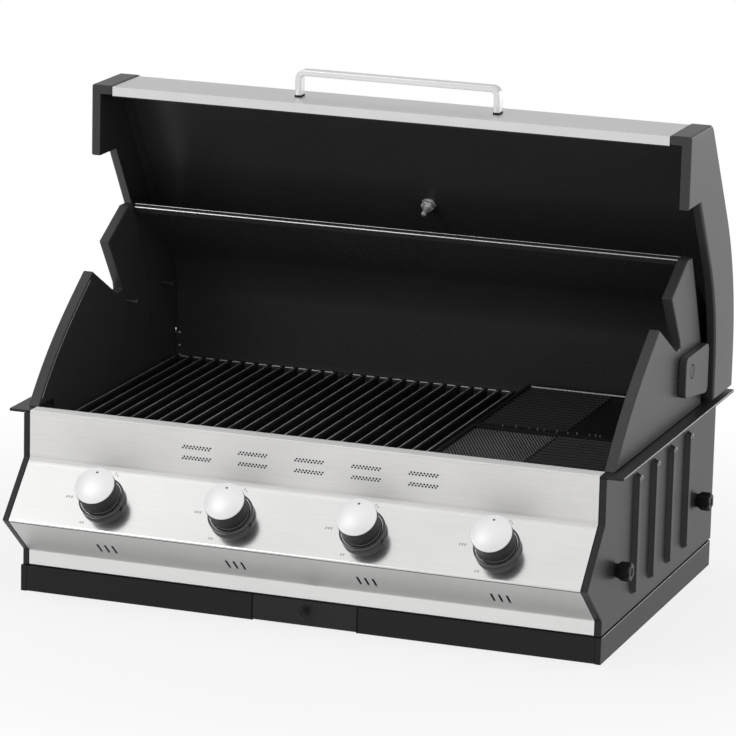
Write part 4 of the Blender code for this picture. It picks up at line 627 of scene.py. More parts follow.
# Ticks: places are (x, y) from the knob's middle, sizes (length, width), leans in degrees
CLOSED_TICKS = (((0.0060, 0.0405), 45), ((0.0090, 0.0375), 135))
CLOSED_SIZE = (0.0040, 0.0010)
TICK_PITCH = 0.0035
TICK_LEAN = -20
FULL_TICKS = 3
FULL_PLACE = (-0.0425, 0.0)
FULL_SIZE = (0.0014, 0.0035)
LOW_TICKS = 2
LOW_PLACE = (-0.0205, -0.0345)
LOW_SIZE = (0.0014, 0.0030)


def knob_matrix(number):
    """The sloping face's frame at one knob: Z out of the face, Y up the face."""
    place = Vector(((number - 1) * KNOB_PITCH - KNOB_MIDDLE, KNOB_FACE_Y, KNOB_FACE_Z))
    return Matrix.Translation(place) @ Matrix.Rotation(FACE_TILT, 4, "X")


def heights(node, matrix):
    """Lowest and highest point of a CAD node along the frame's own Z."""
    inverse = matrix.inverted()
    values = [(inverse @ vert.co).z for vert in frame["nodes"][node].data.vertices]
    return min(values), max(values)


def bezel(number, matrix):
    """Polished ring that stands round the knob's foot, its chrome darkened as painted shade and brighter on
    its inner slope as painted highlight.
    """
    low, _ = heights(f"knob_bezel_{number}", matrix)
    high = low + BEZEL_RISE
    wall = BEZEL_RADIUS - 2 * BEZEL_LIP
    inner = (wall + BEZEL_LIP / 2, high - BEZEL_LIP / 2)
    profile = [(BEZEL_BORE, low), (BEZEL_BASE, low), (BEZEL_RADIUS - BEZEL_TAPER, high - BEZEL_SHOULDER)]
    profile += arc((BEZEL_RADIUS - BEZEL_LIP, high - BEZEL_LIP), BEZEL_LIP, 0, 90, 6)
    profile += arc(inner, BEZEL_LIP / 2, 90, 180, 4)
    profile += [(wall, low + BEZEL_FLOOR), (BEZEL_BORE, low + BEZEL_FLOOR)]
    # The ring in chrome darkened as painted shade
    piece = turned_piece(f"bezel_{number}", profile, matrix, "chrome", "cabinet", "chrome")
    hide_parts(f"knob_bezel_{number}")
    # Its inner slope in a bright copy of the chrome, as painted highlight
    slope = arc(inner, BEZEL_LIP / 2 + LIFT, SLOPE_START, 180, 6)
    slope += [(wall - LIFT, high - BEZEL_SHOULDER), (wall + SLOPE_SKIN, high - BEZEL_SHOULDER)]
    slope += [(wall + 2 * SLOPE_SKIN, high - 2 * SLOPE_SKIN)]
    turned_piece(f"bezel_slope_{number}", slope, matrix, "mirror", "cabinet", "chrome")


def knurl(turn, radius):
    """The skirt's radius with its knurls, which end where it is narrowest."""
    if SKIRT_FOOT < radius <= SKIRT_TOP:
        return radius + KNURL_DEPTH * math.cos(turn * KNURLS)
    return radius


def skirt(number, matrix):
    """Knurled grip that narrows to its foot inside the ring, with a thin rim line painted as a highlight."""
    low, high = heights(f"knob_skirt_{number}", matrix)
    foot = high - SKIRT_HEIGHT
    high += KNOB_LIFT
    inside = SKIRT_FOOT - SKIRT_WALL
    profile = [(0, high), (SKIRT_TOP - SKIRT_SHOULDER, high)]
    profile += arc((SKIRT_TOP - SKIRT_NECK, high - SKIRT_EDGE), SKIRT_EDGE, 90, 0, 3)
    profile += [(SKIRT_TOP, high - SKIRT_TAPER_TOP), (SKIRT_FOOT + LIFT, foot + SKIRT_TAPER_FOOT)]
    profile += arc((SKIRT_FOOT - SKIRT_ROUND, foot + SKIRT_ROUND), SKIRT_ROUND, 0, -90, 4)
    profile += [(inside, foot), (inside, foot + SKIRT_HOLLOW), (HUB_RADIUS, foot + SKIRT_HOLLOW)]
    profile += [(HUB_RADIUS, low + HUB_LIFT), (STEM_BORE, low + HUB_LIFT)]
    profile += [(STEM_BORE, high - STEM_ROOF), (0, high - STEM_ROOF)]
    body = f"knob_{number}"
    name = f"skirt_{number}"
    piece = turned_piece(name, profile, matrix, "knob_black", body, "black_moulding", KNURL_ROUND, knurl)
    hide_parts(f"knob_skirt_{number}")
    # Thin pale ring on the rim, painted as its highlight
    rim = arc((SKIRT_FOOT, foot + RIM_RISE), RIM_RADIUS, 0, 330, 11)
    turned_piece(f"skirt_ring_{number}", rim, matrix, "edge_shine", body, count=SMOOTH_ROUND)


def cap(number, matrix):
    """Domed cap with a rounded edge and a small pointer dot."""
    low, high = heights(f"knob_cap_{number}", matrix)
    low += KNOB_LIFT
    high += KNOB_LIFT + CAP_EXTRA
    bend = bend_of(CAP_RADIUS, high - low - CAP_EDGE)
    reach = math.degrees(math.asin(CAP_RADIUS / bend)) * CAP_DOME_SHARE
    shoulder = (CAP_RADIUS - CAP_SHOULDER, low + CAP_EDGE - CAP_SHOULDER_DROP)
    profile = [(0, low), (CAP_RADIUS - CAP_ROUND, low)]
    profile += arc((CAP_RADIUS - CAP_ROUND, low + CAP_ROUND), CAP_ROUND, -90, 0, 4)
    profile += arc(shoulder, CAP_SHOULDER, 0, CAP_SHOULDER_END, 4)
    profile += arc((0, high - bend), bend, 90 - reach, 90, 16)[:-1] + [(0, high)]
    body = f"knob_{number}"
    piece = turned_piece(f"cap_{number}", profile, matrix, "satin_cap", body, "satin_silver", SMOOTH_ROUND)
    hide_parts(f"knob_cap_{number}")
    height = high - bend + math.sqrt(bend**2 - POINTER_OUT**2)
    lean = Matrix.Rotation(-math.asin(POINTER_OUT / bend), 4, "X")
    dot = [(0, -POINTER_DEPTH), (POINTER_RADIUS, -POINTER_DEPTH), (POINTER_RADIUS, LIFT)]
    dot += [(POINTER_FLAT, 2 * LIFT), (0, 2 * LIFT)]
    spot = matrix @ Matrix.Translation((0, POINTER_OUT, height)) @ lean
    turned_piece(f"pointer_{number}", dot, spot, "pointer_grey", body, count=FINE)


def bar_mark(bm, matrix, place, size, turn=0.0):
    """A thin rectangular print on the sloping face, or on the dial."""
    local = matrix @ Matrix.Translation((*place, 0)) @ Matrix.Rotation(turn, 4, "Z")
    half_x, half_y = size[0] / 2, size[1] / 2
    ring = [(-half_x, -half_y), (half_x, -half_y), (half_x, half_y), (-half_x, half_y)]
    add_rings(bm, [[local @ Vector((x, y, z)) for x, y in ring] for z in (-LIFT, LIFT)])


def marks(number, matrix):
    """Plain ticks round a knob: a pair at the closed place, three at full flame and two at low flame."""
    bm = bmesh.new()
    lean = math.radians(TICK_LEAN)
    for place, turn in CLOSED_TICKS:
        bar_mark(bm, matrix, place, CLOSED_SIZE, math.radians(turn))
    for step in range(FULL_TICKS):
        bar_mark(bm, matrix, (FULL_PLACE[0] - step * TICK_PITCH, FULL_PLACE[1]), FULL_SIZE, lean)
    for step in range(LOW_TICKS):
        bar_mark(bm, matrix, (LOW_PLACE[0] + step * TICK_PITCH, LOW_PLACE[1]), LOW_SIZE, lean)
    new_piece(f"knob_marks_{number}", bm, "print_grey", "cabinet")


for knob_number in range(1, KNOB_COUNT + 1):
    seat = knob_matrix(knob_number)
    bezel(knob_number, seat)
    skirt(knob_number, seat)
    cap(knob_number, seat)
    marks(knob_number, seat)


# Perforated ornament on the upper strip, its holes painted as dots of shade

DOT_RADIUS = 0.00125
DOT_SIDES = 10
DOT_PITCH = 0.0044
LANES = 2
LANE_RISE_SHARE = 0.6
GROUPS = 5
GROUP_PITCH = 0.0760
GROUP_DOTS = 9
GROUP_ROWS = 2
ROW_PITCH = 0.0140
ROWS_HEIGHT = 0.2075


def perforation():
    """Plain groups of dashes, each of two lanes of dark dots painted as the shade in the holes."""
    bm = bmesh.new()
    outline = circle(DOT_RADIUS, DOT_SIDES)
    for group in range(GROUPS):
        centre = (group - (GROUPS - 1) / 2) * GROUP_PITCH
        for row in range(GROUP_ROWS):
            height = ROWS_HEIGHT + (row - (GROUP_ROWS - 1) / 2) * ROW_PITCH
            for lane in range(LANES):
                z = height + lane * DOT_PITCH * LANE_RISE_SHARE
                for number in range(GROUP_DOTS):
                    x = centre + (number - (GROUP_DOTS - 1) / 2 + lane / LANES) * DOT_PITCH
                    ring = shifted(outline, x, z)
                    add_rings(bm, [[(a, FASCIA_Y + depth, b) for a, b in ring] for depth in (LIFT, -LIFT)])
    new_piece("perforation", bm, "hole_and_gap_shade", "cabinet")


perforation()


# Handle

HANDLE_THICKNESS = 0.008
HANDLE_BEND = 0.0085
HANDLE_CORNER = 0.0016
# Pads under the handle's feet, as shares of its section across and along Y
PAD_SHARES = (1.12, 1.06)
PAD_SINK = 0.0002
PAD_RISE = 0.0022


def handle_section(width):
    """The flat bar's rounded section, as (across, along Y)."""
    section = []
    for sx, sy, start in ((1, 1, 0), (-1, 1, 90), (-1, -1, 180), (1, -1, 270)):
        centre = (sx * (HANDLE_THICKNESS / 2 - HANDLE_CORNER), sy * (width / 2 - HANDLE_CORNER))
        section += arc(centre, HANDLE_CORNER, start, start + 90, 4)
    return section


def handle():
    """A flat bar bent down at both ends, with a dark pad round each foot."""
    low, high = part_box("hood_handle")
    half = (high.x - low.x) / 2 - HANDLE_THICKNESS / 2
    top = high.z - HANDLE_THICKNESS / 2
    middle_y = (low.y + high.y) / 2
    section = handle_section(high.y - low.y)
    path = [(-half, low.z)]
    path += arc((HANDLE_BEND - half, top - HANDLE_BEND), HANDLE_BEND, 180, 90, 8)
    path += arc((half - HANDLE_BEND, top - HANDLE_BEND), HANDLE_BEND, 90, 0, 8)
    path += [(half, low.z)]
    rings = []
    for index, (x, z) in enumerate(path):
        before = Vector(path[max(index - 1, 0)])
        after = Vector(path[min(index + 1, len(path) - 1)])
        along = (after - before).normalized()
        rings.append([(x - along.y * a, middle_y + b, z + along.x * a) for a, b in section])
    bm = bmesh.new()
    add_rings(bm, rings)
    piece = new_piece("handle", bm, "satin_silver", "hood")
    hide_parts("hood_handle")
    bm = bmesh.new()
    for side in (-1, 1):
        pad = [(side * half + a * PAD_SHARES[0], middle_y + b * PAD_SHARES[1]) for a, b in section]
        add_rings(bm, [[(x, y, z) for x, y in pad] for z in (low.z - PAD_SINK, low.z + PAD_RISE)])
    new_piece("handle_pads", bm, "rubber", "hood")


handle()


# Grates: bars with pale crests painted as highlights, cross bars at both ends, a rod under the middle and
# pale strips at the rear painted as highlights

BARS = 13
BAR_RADIUS = 0.0027
BAR_SHOULDER = 0.0026
BAR_SHOULDER_DROP = 0.0035
BAR_FOOT = 0.0020
BAR_DEPTH = 0.0120
# How far in from the bar's end, and how far its top is down there
BAR_ENDS = ((0, 0.0030), (0.0020, 0.0004), (0.006, 0))
BAR_END_SHARE = 0.5
CROSS_INSET = 0.0055
CROSS_WIDTH = 0.0090
# Outline of a cross bar, as (share of its width, depth under the bars' tops)
CROSS_OUTLINE = ((-0.5, 0.006), (0.5, 0.006), (0.5, 0.004), (0.25, 0.0014), (-0.25, 0.0014), (-0.5, 0.004))
ROD_RADIUS = 0.0018
ROD_SIDES = 12
ROD_INSET = 0.004
CREST_SHIFT = 0.0004
CREST_RADIUS = 0.00285
CREST_START = 112
CREST_END = 78
CREST_FOOT_SHARE = 0.7
CREST_DEPTH = 0.0009
CREST_INSET = 0.012
# Pale strips between the bars' rear ends, painted as highlights: inset, drop, reach to each side and radius
REAR_SHINE_INSET = 0.0060
REAR_SHINE_DROP = 0.0016
REAR_SHINE_LEFT = 0.0060
REAR_SHINE_RIGHT = 0.0050
REAR_SHINE_RADIUS = 0.0012


def bar_section():
    """Half-round top on a tapered foot, as (across, height) from the bar's top."""
    sides = [(BAR_SHOULDER, -BAR_SHOULDER_DROP), (BAR_FOOT, -BAR_DEPTH)]
    points = [(-across, height) for across, height in reversed(sides)]
    return points + arc((0, -BAR_RADIUS), BAR_RADIUS, 180, 0, 8) + sides


def bar(bm, centre, low, high):
    """One bar, rounded down at both ends."""
    stations = [(low.y + inset, drop) for inset, drop in BAR_ENDS]
    stations += [(high.y - inset, drop) for inset, drop in reversed(BAR_ENDS)]
    rings = []
    for y, drop in stations:
        share = BAR_END_SHARE if drop else 1
        rings.append([(centre + a, y, high.z - drop + b * share) for a, b in bar_section()])
    add_rings(bm, rings)


def grate_bars(node, low, high, pitch):
    bm = bmesh.new()
    for number in range(BARS):
        bar(bm, low.x + (number + 0.5) * pitch, low, high)
    for y in (low.y + CROSS_INSET, high.y - CROSS_INSET):
        ring = [(y + share * CROSS_WIDTH, high.z - depth) for share, depth in CROSS_OUTLINE]
        add_prism(bm, ring, low.x, high.x)
    rod = shifted(circle(ROD_RADIUS, ROD_SIDES), (low.y + high.y) / 2, low.z + ROD_RADIUS)
    add_prism(bm, rod, low.x + ROD_INSET, high.x - ROD_INSET)
    piece = new_piece("bars_" + node, bm, "cast_iron", "cabinet")
    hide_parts(node)


def grate(node):
    low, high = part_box(node)
    pitch = (high.x - low.x) / BARS
    grate_bars(node, low, high, pitch)
    # Pale strips along the bars' crests, painted as their highlights
    crest = arc((0, -BAR_RADIUS), CREST_RADIUS, CREST_START, CREST_END, 4)
    section = crest + [(x * CREST_FOOT_SHARE, z - CREST_DEPTH) for x, z in reversed(crest)]
    bm = bmesh.new()
    for number in range(BARS):
        centre = low.x + (number + 0.5) * pitch - CREST_SHIFT
        ends = (low.y + CREST_INSET, high.y - CREST_INSET)
        add_rings(bm, [[(centre + a, y, high.z + b) for a, b in section] for y in ends])
    new_piece("crest_shine_" + node, bm, "bar_crest_shine", "cabinet")
    # Pale strips between the bars at the rear, painted as highlights
    bm = bmesh.new()
    for number in range(1, BARS):
        centre = low.x + number * pitch
        y, z = high.y - REAR_SHINE_INSET, high.z - REAR_SHINE_DROP
        strip(bm, (centre - REAR_SHINE_LEFT, y, z), (centre + REAR_SHINE_RIGHT, y, z), REAR_SHINE_RADIUS)
    new_piece("rear_shine_" + node, bm, "rail_steel_and_shine", "cabinet")


for grate_node in ("cooking_grate_left", "cooking_grate_middle"):
    grate(grate_node)


# Griddle plates

PLATE_EDGE_BACK = 0.0052
PLATE_EDGE_DROP = 0.0014
PLATE_EDGE_RADIUS = 0.0013
PLATE_EDGE_SIDES = 10
PLATE_EDGE_LEFT = 0.006
PLATE_EDGE_RIGHT = 0.001
LUG_PLACES = (0.176, 0.194, 0.212, 0.223, 0.232, 0.249, 0.264, 0.276, 0.293, 0.301, 0.307)
LUG_BACK = 0.0012
LUG_SINK = 0.0002
LUG_RADIUS = 0.0009
LUG_RISE = 0.0022
LUG_EXTRA = 0.0008
PLATE_RIM = 0.0055
PLATE_DEPTH = 0.0040
STIPPLE_GAP = 0.0020
STIPPLE_PITCH = 0.0042
STIPPLE_RISE = 0.0006
STIPPLE_RADIUS = 0.0013
STIPPLE_SIDES = 6
STIPPLE_SHIFT = 0.25


def griddles():
    """A bright strip painted as the highlight on the rear inner edge, lugs along the joint in a pale finish
    painted as glints, and a stippled half on the front plate.
    """
    low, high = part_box("griddle_rear")
    # Bright strip on the rear plate's inner edge, painted as its highlight
    edge = circle(PLATE_EDGE_RADIUS, PLATE_EDGE_SIDES)
    edge = shifted(edge, high.y - PLATE_EDGE_BACK, high.z - PLATE_EDGE_DROP)
    bm = bmesh.new()
    add_prism(bm, edge, low.x + PLATE_EDGE_LEFT, high.x - PLATE_EDGE_RIGHT)
    new_piece("griddle_rear_edge", bm, "rail_steel_and_shine", "cabinet")
    bm = bmesh.new()
    # Lugs in a pale finish, painted as glints
    for number, x in enumerate(LUG_PLACES):
        rise = LUG_RISE + LUG_EXTRA * (number % 2)
        dome(bm, (x, low.y + LUG_BACK, high.z - LUG_SINK), (0, 0, 1), LUG_RADIUS, rise)
    new_piece("griddle_lugs", bm, "edge_shine", "cabinet")
    stipple()


def stipple():
    """Small blunt studs in staggered rows over the left half of the front plate."""
    low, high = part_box("griddle_front")
    floor_z = high.z - PLATE_DEPTH
    near = Vector((low.x + PLATE_RIM, low.y + PLATE_RIM))
    far = Vector(((low.x + high.x) / 2 - STIPPLE_GAP, high.y - PLATE_RIM))
    outline = circle(STIPPLE_RADIUS, STIPPLE_SIDES)
    bm = bmesh.new()
    for row in range(int((far.y - near.y) / STIPPLE_PITCH)):
        for column in range(int((far.x - near.x) / STIPPLE_PITCH)):
            x = near.x + (column + 0.5 + STIPPLE_SHIFT * (-1) ** row) * STIPPLE_PITCH
            y = near.y + (row + 0.5) * STIPPLE_PITCH
            base = [(x + a, y + b, floor_z - LIFT) for a, b in outline]
            top = [(x + a / 2, y + b / 2, floor_z + STIPPLE_RISE) for a, b in outline]
            add_rings(bm, [base, top])
    new_piece("griddle_stipple", bm, "griddle_grain", "cabinet")


# Hand screws and the drawer's knob

SCREW_FACE = 0.3903
SCREW_RADIUS = 0.0125
SCREW_LENGTH = 0.0195
# Foot of a hand screw, as (share of its radius, height)
SCREW_FOOT = ((0, 0), (0.72, 0), (0.78, 0.0030), (0.93, 0.0050), (1, 0.0068))
SCREW_EDGE = 0.0022
SCREW_EDGE_START = 0.0030
SCREW_RIM_SHARE = 0.45
SCREW_DISH_SHARE = 0.42
SCREW_DISH = 0.0012
LOBES = 6
LOBE_DEPTH = 0.0026
LOBE_SHARPNESS = 1.5
LOBE_FADE = 4
STUD_RADIUS = 0.003
STUD_DEPTH = 0.0085
STUD_OVERLAP = 0.001
PULL_ROUND = 48
PULL_ROOT = 0.004
PULL_NECK = 0.0034
# Foot of the drawer's knob, as (radius, height): its pin, its collar and the start of its neck
PULL_FOOT = ((0, -PULL_ROOT), (0.0022, -PULL_ROOT), (0.0022, 0.0002), (0.0042, 0.0002), (0.0042, 0.0010),
             (PULL_NECK, 0.0016))
PULL_NECK_DROP = 0.0066
PULL_RIM = 0.0046
PULL_RIM_DROP = 0.0030
PULL_RIM_RADIUS = 0.0016
PULL_RIM_START = -100
PULL_RIM_END = 80
PULL_FACE = 0.0030
PULL_FACE_DROP = 0.0002


def lobes(turn, reach):
    """A hand screw's radius with its six hollows, which fade out towards its middle."""
    hollow = ((1 - math.cos(turn * LOBES)) / 2) ** LOBE_SHARPNESS
    return reach - LOBE_DEPTH * hollow * (reach / SCREW_RADIUS) ** LOBE_FADE


def hand_screw(side, number):
    node = f"hand_screw_{side}_{number}"
    low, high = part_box(node)
    sign = 1 if side == "right" else -1
    place = (sign * SCREW_FACE, (low.y + high.y) / 2, (low.z + high.z) / 2)
    matrix = Matrix.Translation(place) @ Matrix.Rotation(sign * math.pi / 2, 4, "Y")
    profile = [(share * SCREW_RADIUS, height) for share, height in SCREW_FOOT]
    profile += [(SCREW_RADIUS, SCREW_LENGTH - SCREW_EDGE_START)]
    profile += arc((SCREW_RADIUS - SCREW_EDGE, SCREW_LENGTH - SCREW_EDGE), SCREW_EDGE, 0, 90, 5)
    profile += [(SCREW_RADIUS * SCREW_RIM_SHARE, SCREW_LENGTH)]
    profile += [(SCREW_RADIUS * SCREW_DISH_SHARE, SCREW_LENGTH - SCREW_DISH), (0, SCREW_LENGTH - SCREW_DISH)]
    bm = bmesh.new()
    add_turned(bm, profile, matrix, SMOOTH_ROUND, lobes)
    stud = [(0, -STUD_DEPTH), (STUD_RADIUS, -STUD_DEPTH), (STUD_RADIUS, STUD_OVERLAP), (0, STUD_OVERLAP)]
    add_turned(bm, stud, matrix, FINE)
    name = f"screw_knob_{side}_{number}"
    piece = new_piece(name, bm, "knob_black", f"screw_{side}_{number}")
    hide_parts(node)


for screw_side in ("left", "right"):
    for screw_number in (1, 2):
        hand_screw(screw_side, screw_number)


def drawer_knob():
    """Small turned knob with a collar at its foot and a rounded rim."""
    low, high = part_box("drawer_knob")
    root = high.y - PULL_ROOT
    matrix = Matrix.Translation((0, root, (low.z + high.z) / 2)) @ Matrix.Rotation(math.pi / 2, 4, "X")
    length = root - low.y
    profile = [*PULL_FOOT, (PULL_NECK, length - PULL_NECK_DROP)]
    profile += arc((PULL_RIM, length - PULL_RIM_DROP), PULL_RIM_RADIUS, PULL_RIM_START, PULL_RIM_END, 10)
    profile += [(PULL_FACE, length - PULL_FACE_DROP), (0, length)]
    look = ("knob_black", "drawer", "black_moulding")
    piece = turned_piece("drawer_pull", profile, matrix, *look, PULL_ROUND)
    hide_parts("drawer_knob")


drawer_knob()


# Thermometer on the back of the open hood

GAUGE_CASE = 0.010
GAUGE_RADIUS = 0.0260
GAUGE_LIP = 0.0010
GAUGE_RIM = 0.0225
# The dial's seat and the lip's foot, as (radius, depth under the top)
GAUGE_SEAT = (0.0232, 0.002)
GAUGE_LIP_FOOT = (0.0236, 0.0004)
# The neck and the step under it, as (radius, height over the probe's foot)
GAUGE_NECK = (0.006, 0.034)
GAUGE_STEP = (0.0045, 0.030)
GAUGE_PROBE = 0.0034
GAUGE_PROBE_TOP = 0.026
GAUGE_TIP = 0.001
GAUGE_TIP_SHARE = 0.6
GAUGE_SHORTER = 0.010
# Nuts: (radius, height over the probe's foot), and each one's outline as (share of its radius, height)
GAUGE_NUTS = ((0.0090, 0.0255), (0.0105, 0.0340))
NUT_OUTLINE = ((0.90, 0), (1, 0.0008), (1, 0.0046), (0.90, 0.0054))
NUT_SIDES = 6
NUT_TURN = 0.3
DIAL_RADIUS = 0.0230
DIAL_FOOT = 0.0021
DIAL_TOP = 0.0017
DIAL_TICKS = 25
DIAL_START = -135
DIAL_SWEEP = 270
DIAL_TICK_REACH = 0.0205
DIAL_TICK_WIDTH = 0.0007
LONG_TICK = 0.0038
SHORT_TICK = 0.0022
LONG_EVERY = 4
NEEDLE_DROP = 0.0012
NEEDLE_TURN = 128
# The needle's outline as (x, y), and its hub's profile as (radius, height)
NEEDLE_OUTLINE = ((-0.0009, -0.0045), (0.0009, -0.0045), (0.0003, 0.0175), (-0.0003, 0.0175))
NEEDLE_HUB = ((0, -0.0004), (0.0022, -0.0004), (0.0022, 0.0002), (0.0012, 0.0005), (0, 0.0005))


def gauge():
    """The thermometer's own frame, Z out of the hood, with its lowest and highest point along Z."""
    verts = [vert.co.copy() for vert in frame["nodes"]["thermometer"].data.vertices]
    tip = min(verts, key=lambda point: point.y)
    outer = [point for point in verts if abs(point.x) > GAUGE_RIM]
    centre = sum(outer, Vector()) / len(outer)
    out = (centre - Vector((0, tip.y, tip.z))).normalized()
    out.x = 0
    out.normalize()
    matrix = aimed((0, centre.y, centre.z), out)
    inverse = matrix.inverted()
    spans = [(inverse @ point).z for point in verts]
    return matrix, min(spans), max(spans)


def gauge_case(matrix, foot, top):
    """Dial case outside the hood, with its probe and two nuts inside."""
    base = top - GAUGE_CASE
    tip = foot + GAUGE_SHORTER
    seat, seat_drop = GAUGE_SEAT
    lip, lip_drop = GAUGE_LIP_FOOT
    shoulder = GAUGE_RADIUS - GAUGE_LIP
    profile = [(0, top - seat_drop), (seat, top - seat_drop), (lip, top - lip_drop)]
    profile += arc((shoulder, top - GAUGE_LIP), GAUGE_LIP, 90, 0, 4)
    profile += [(GAUGE_RADIUS, base + 2 * GAUGE_LIP), (shoulder, base), (GAUGE_NECK[0], base)]
    profile += [(GAUGE_NECK[0], foot + GAUGE_NECK[1]), (GAUGE_STEP[0], foot + GAUGE_STEP[1])]
    profile += [(GAUGE_PROBE, foot + GAUGE_PROBE_TOP), (GAUGE_PROBE, tip + GAUGE_TIP)]
    profile += [(GAUGE_PROBE * GAUGE_TIP_SHARE, tip), (0, tip)]
    bm = bmesh.new()
    add_turned(bm, profile, matrix)
    for radius, rise in GAUGE_NUTS:
        rings = []
        for share, height in NUT_OUTLINE:
            nut = [(a * share, b * share) for a, b in circle(radius, NUT_SIDES, NUT_TURN)]
            rings.append([matrix @ Vector((x, y, foot + rise + height)) for x, y in nut])
        add_rings(bm, rings)
    piece = new_piece("gauge_case", bm, "satin_cap", "hood")
    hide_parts("thermometer")


def thermometer():
    """The case, a pale dial in it, and the dial's ticks and needle."""
    matrix, foot, top = gauge()
    gauge_case(matrix, foot, top)
    dial = [(0, top - DIAL_FOOT), (DIAL_RADIUS, top - DIAL_FOOT)]
    dial += [(DIAL_RADIUS, top - DIAL_TOP), (0, top - DIAL_TOP)]
    turned_piece("gauge_dial", dial, matrix, "dial_white", "hood")
    face = matrix @ Matrix.Translation((0, 0, top - DIAL_TOP))
    bm = bmesh.new()
    for step in range(DIAL_TICKS):
        turn = math.radians(DIAL_START + DIAL_SWEEP * step / (DIAL_TICKS - 1))
        length = SHORT_TICK if step % LONG_EVERY else LONG_TICK
        local = face @ Matrix.Rotation(turn, 4, "Z")
        bar_mark(bm, local, (0, DIAL_TICK_REACH - length / 2), (DIAL_TICK_WIDTH, length))
    over = matrix @ Matrix.Translation((0, 0, top - NEEDLE_DROP))
    needle = over @ Matrix.Rotation(math.radians(NEEDLE_TURN), 4, "Z")
    add_rings(bm, [[needle @ Vector((x, y, z)) for x, y in NEEDLE_OUTLINE] for z in (-LIFT, LIFT)])
    add_turned(bm, NEEDLE_HUB, needle, FINE)
    new_piece("gauge_marks", bm, "mark_paint_and_shade", "hood")


# Rivets, lines of painted highlight and shade, and other small parts

# Places on the cheek, as (y, z)
RIVETS = ((0.0625, 0.4274), (-0.0334, 0.3617), (-0.2009, 0.2499))
RIVET_RADIUS = 0.0026
RIVET_RISE = 0.0012
CHEEK_THICKNESS = 0.0144
PIN_PLACE = (0.0175, 0.3045)
PIN_RADIUS = 0.0020
PIN_RISE = 0.0006
CORNER_X = 0.3735
CORNER_Y = 0.2362
CORNER_HEIGHTS = (0.2403, 0.2221, 0.2087)
CORNER_RADIUS = 0.0015
CORNER_RISE = 0.0009
# Lines painted as highlights on the rolled edge, as (turn round it in degrees, radius)
TRIM_LINES = ((170, 0.0014), (122, 0.0005))
TRIM_INSET = 0.001
TRIM_STEPS = 12
RIB_NEAR = 0.0003
RIB_SPACE = 0.03
RIB_LINE = 0.0008
ARCH_LINE = 0.0011
FLANGE_LINE = 0.0006
FLANGE_LINE_INSET = 0.002
FLANGE_LINE_DROP = 0.0009
BASE_LINE = 0.0005
BASE_LINE_INSET = 0.003
BASE_LINE_DROP = 0.0002
GAP_BESIDE = 0.0004
GAP_HALF = 0.0009
GAP_FRONT = 0.0002
GAP_BACK = 0.0020
GAP_FOOT = 0.0004
GAP_TOP = 0.0336
NOSE_LINE = 0.0006
NOSE_BACK = 0.0012
NOSE_HEIGHT = 0.1082


def rivets():
    """Rivet heads inside the cheeks and at the rear corners, and a pin's end outside each cheek."""
    bm = bmesh.new()
    for side in (-1, 1):
        for y, z in RIVETS:
            dome(bm, (side * CHEEK_FACE, y, z), (-side, 0, 0), RIVET_RADIUS, RIVET_RISE)
        pin = (side * (CHEEK_FACE + CHEEK_THICKNESS), *PIN_PLACE)
        dome(bm, pin, (side, 0, 0), PIN_RADIUS, PIN_RISE)
    new_piece("cheek_rivets", bm, "black_coat", "cabinet")
    bm = bmesh.new()
    for side in (-1, 1):
        for z in CORNER_HEIGHTS:
            dome(bm, (side * CORNER_X, CORNER_Y, z), (0, -1, 0), CORNER_RADIUS, CORNER_RISE)
    new_piece("corner_rivets", bm, "rail_steel_and_shine", "cabinet")


def trim():
    """Dark rolled edge of the back panel with a thin and a broad bright line painted as highlights."""
    low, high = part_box("back_trim")
    middle = (low.y + high.y) / 2
    half = (high.y - low.y) / 2
    ring = [(middle - half, low.z), (middle - half, high.z - half)]
    ring += arc((middle, high.z - half), half, 180, 0, TRIM_STEPS)
    ring += [(middle + half, low.z)]
    bm = bmesh.new()
    add_prism(bm, ring, low.x, high.x)
    piece = new_piece("rolled_edge", bm, "iron_dark", "cabinet")
    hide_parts("back_trim")
    # Beads painted as highlights on the rolled edge
    bm = bmesh.new()
    for turn, radius in TRIM_LINES:
        reach = math.radians(turn)
        y = middle + half * math.cos(reach)
        z = high.z - half + half * math.sin(reach)
        strip(bm, (low.x + TRIM_INSET, y, z), (high.x - TRIM_INSET, y, z), radius)
    new_piece("rolled_edge_lines", bm, "line_shine", "cabinet")


def rib_outlines(side):
    """The place of the ribs' crests in X, and each rib's outline there as sorted (y, z) points."""
    points = [vert.co for vert in frame["nodes"]["side_panel_" + side].data.vertices]
    crest = max(points, key=lambda point: abs(point.x)).x
    on_crest = [point for point in points if abs(point.x - crest) < RIB_NEAR]
    outline = sorted({(round(point.y, 5), round(point.z, 5)) for point in on_crest})
    ribs = [outline[:1]]
    for last, point in zip(outline, outline[1:]):
        if point[0] - last[0] > RIB_SPACE:
            ribs.append([])
        ribs[-1].append(point)
    return crest, ribs


def rib_lines():
    """Painted highlights on each pressed rib: a pale line up its front edge, and a bright one over its upper
    end.
    """
    edges = bmesh.new()
    arches = bmesh.new()
    for side in ("left", "right"):
        crest, ribs = rib_outlines(side)
        for rib in ribs:
            middle = sum(z for _, z in rib) / len(rib)
            upper = [point for point in rib if point[1] > middle]
            strip(edges, (crest, *rib[0]), (crest, *upper[0]), RIB_LINE)
            for start, end in zip(upper, upper[1:]):
                strip(arches, (crest, *start), (crest, *end), ARCH_LINE)
    new_piece("rib_edges", edges, "rib_shine", "cabinet")
    new_piece("rib_arches", arches, "edge_shine", "cabinet")


def box(bm, low, high):
    corners = [(low[0], low[1]), (high[0], low[1]), (high[0], high[1]), (low[0], high[1])]
    add_rings(bm, [[(x, y, z) for x, y in corners] for z in (low[2], high[2])])


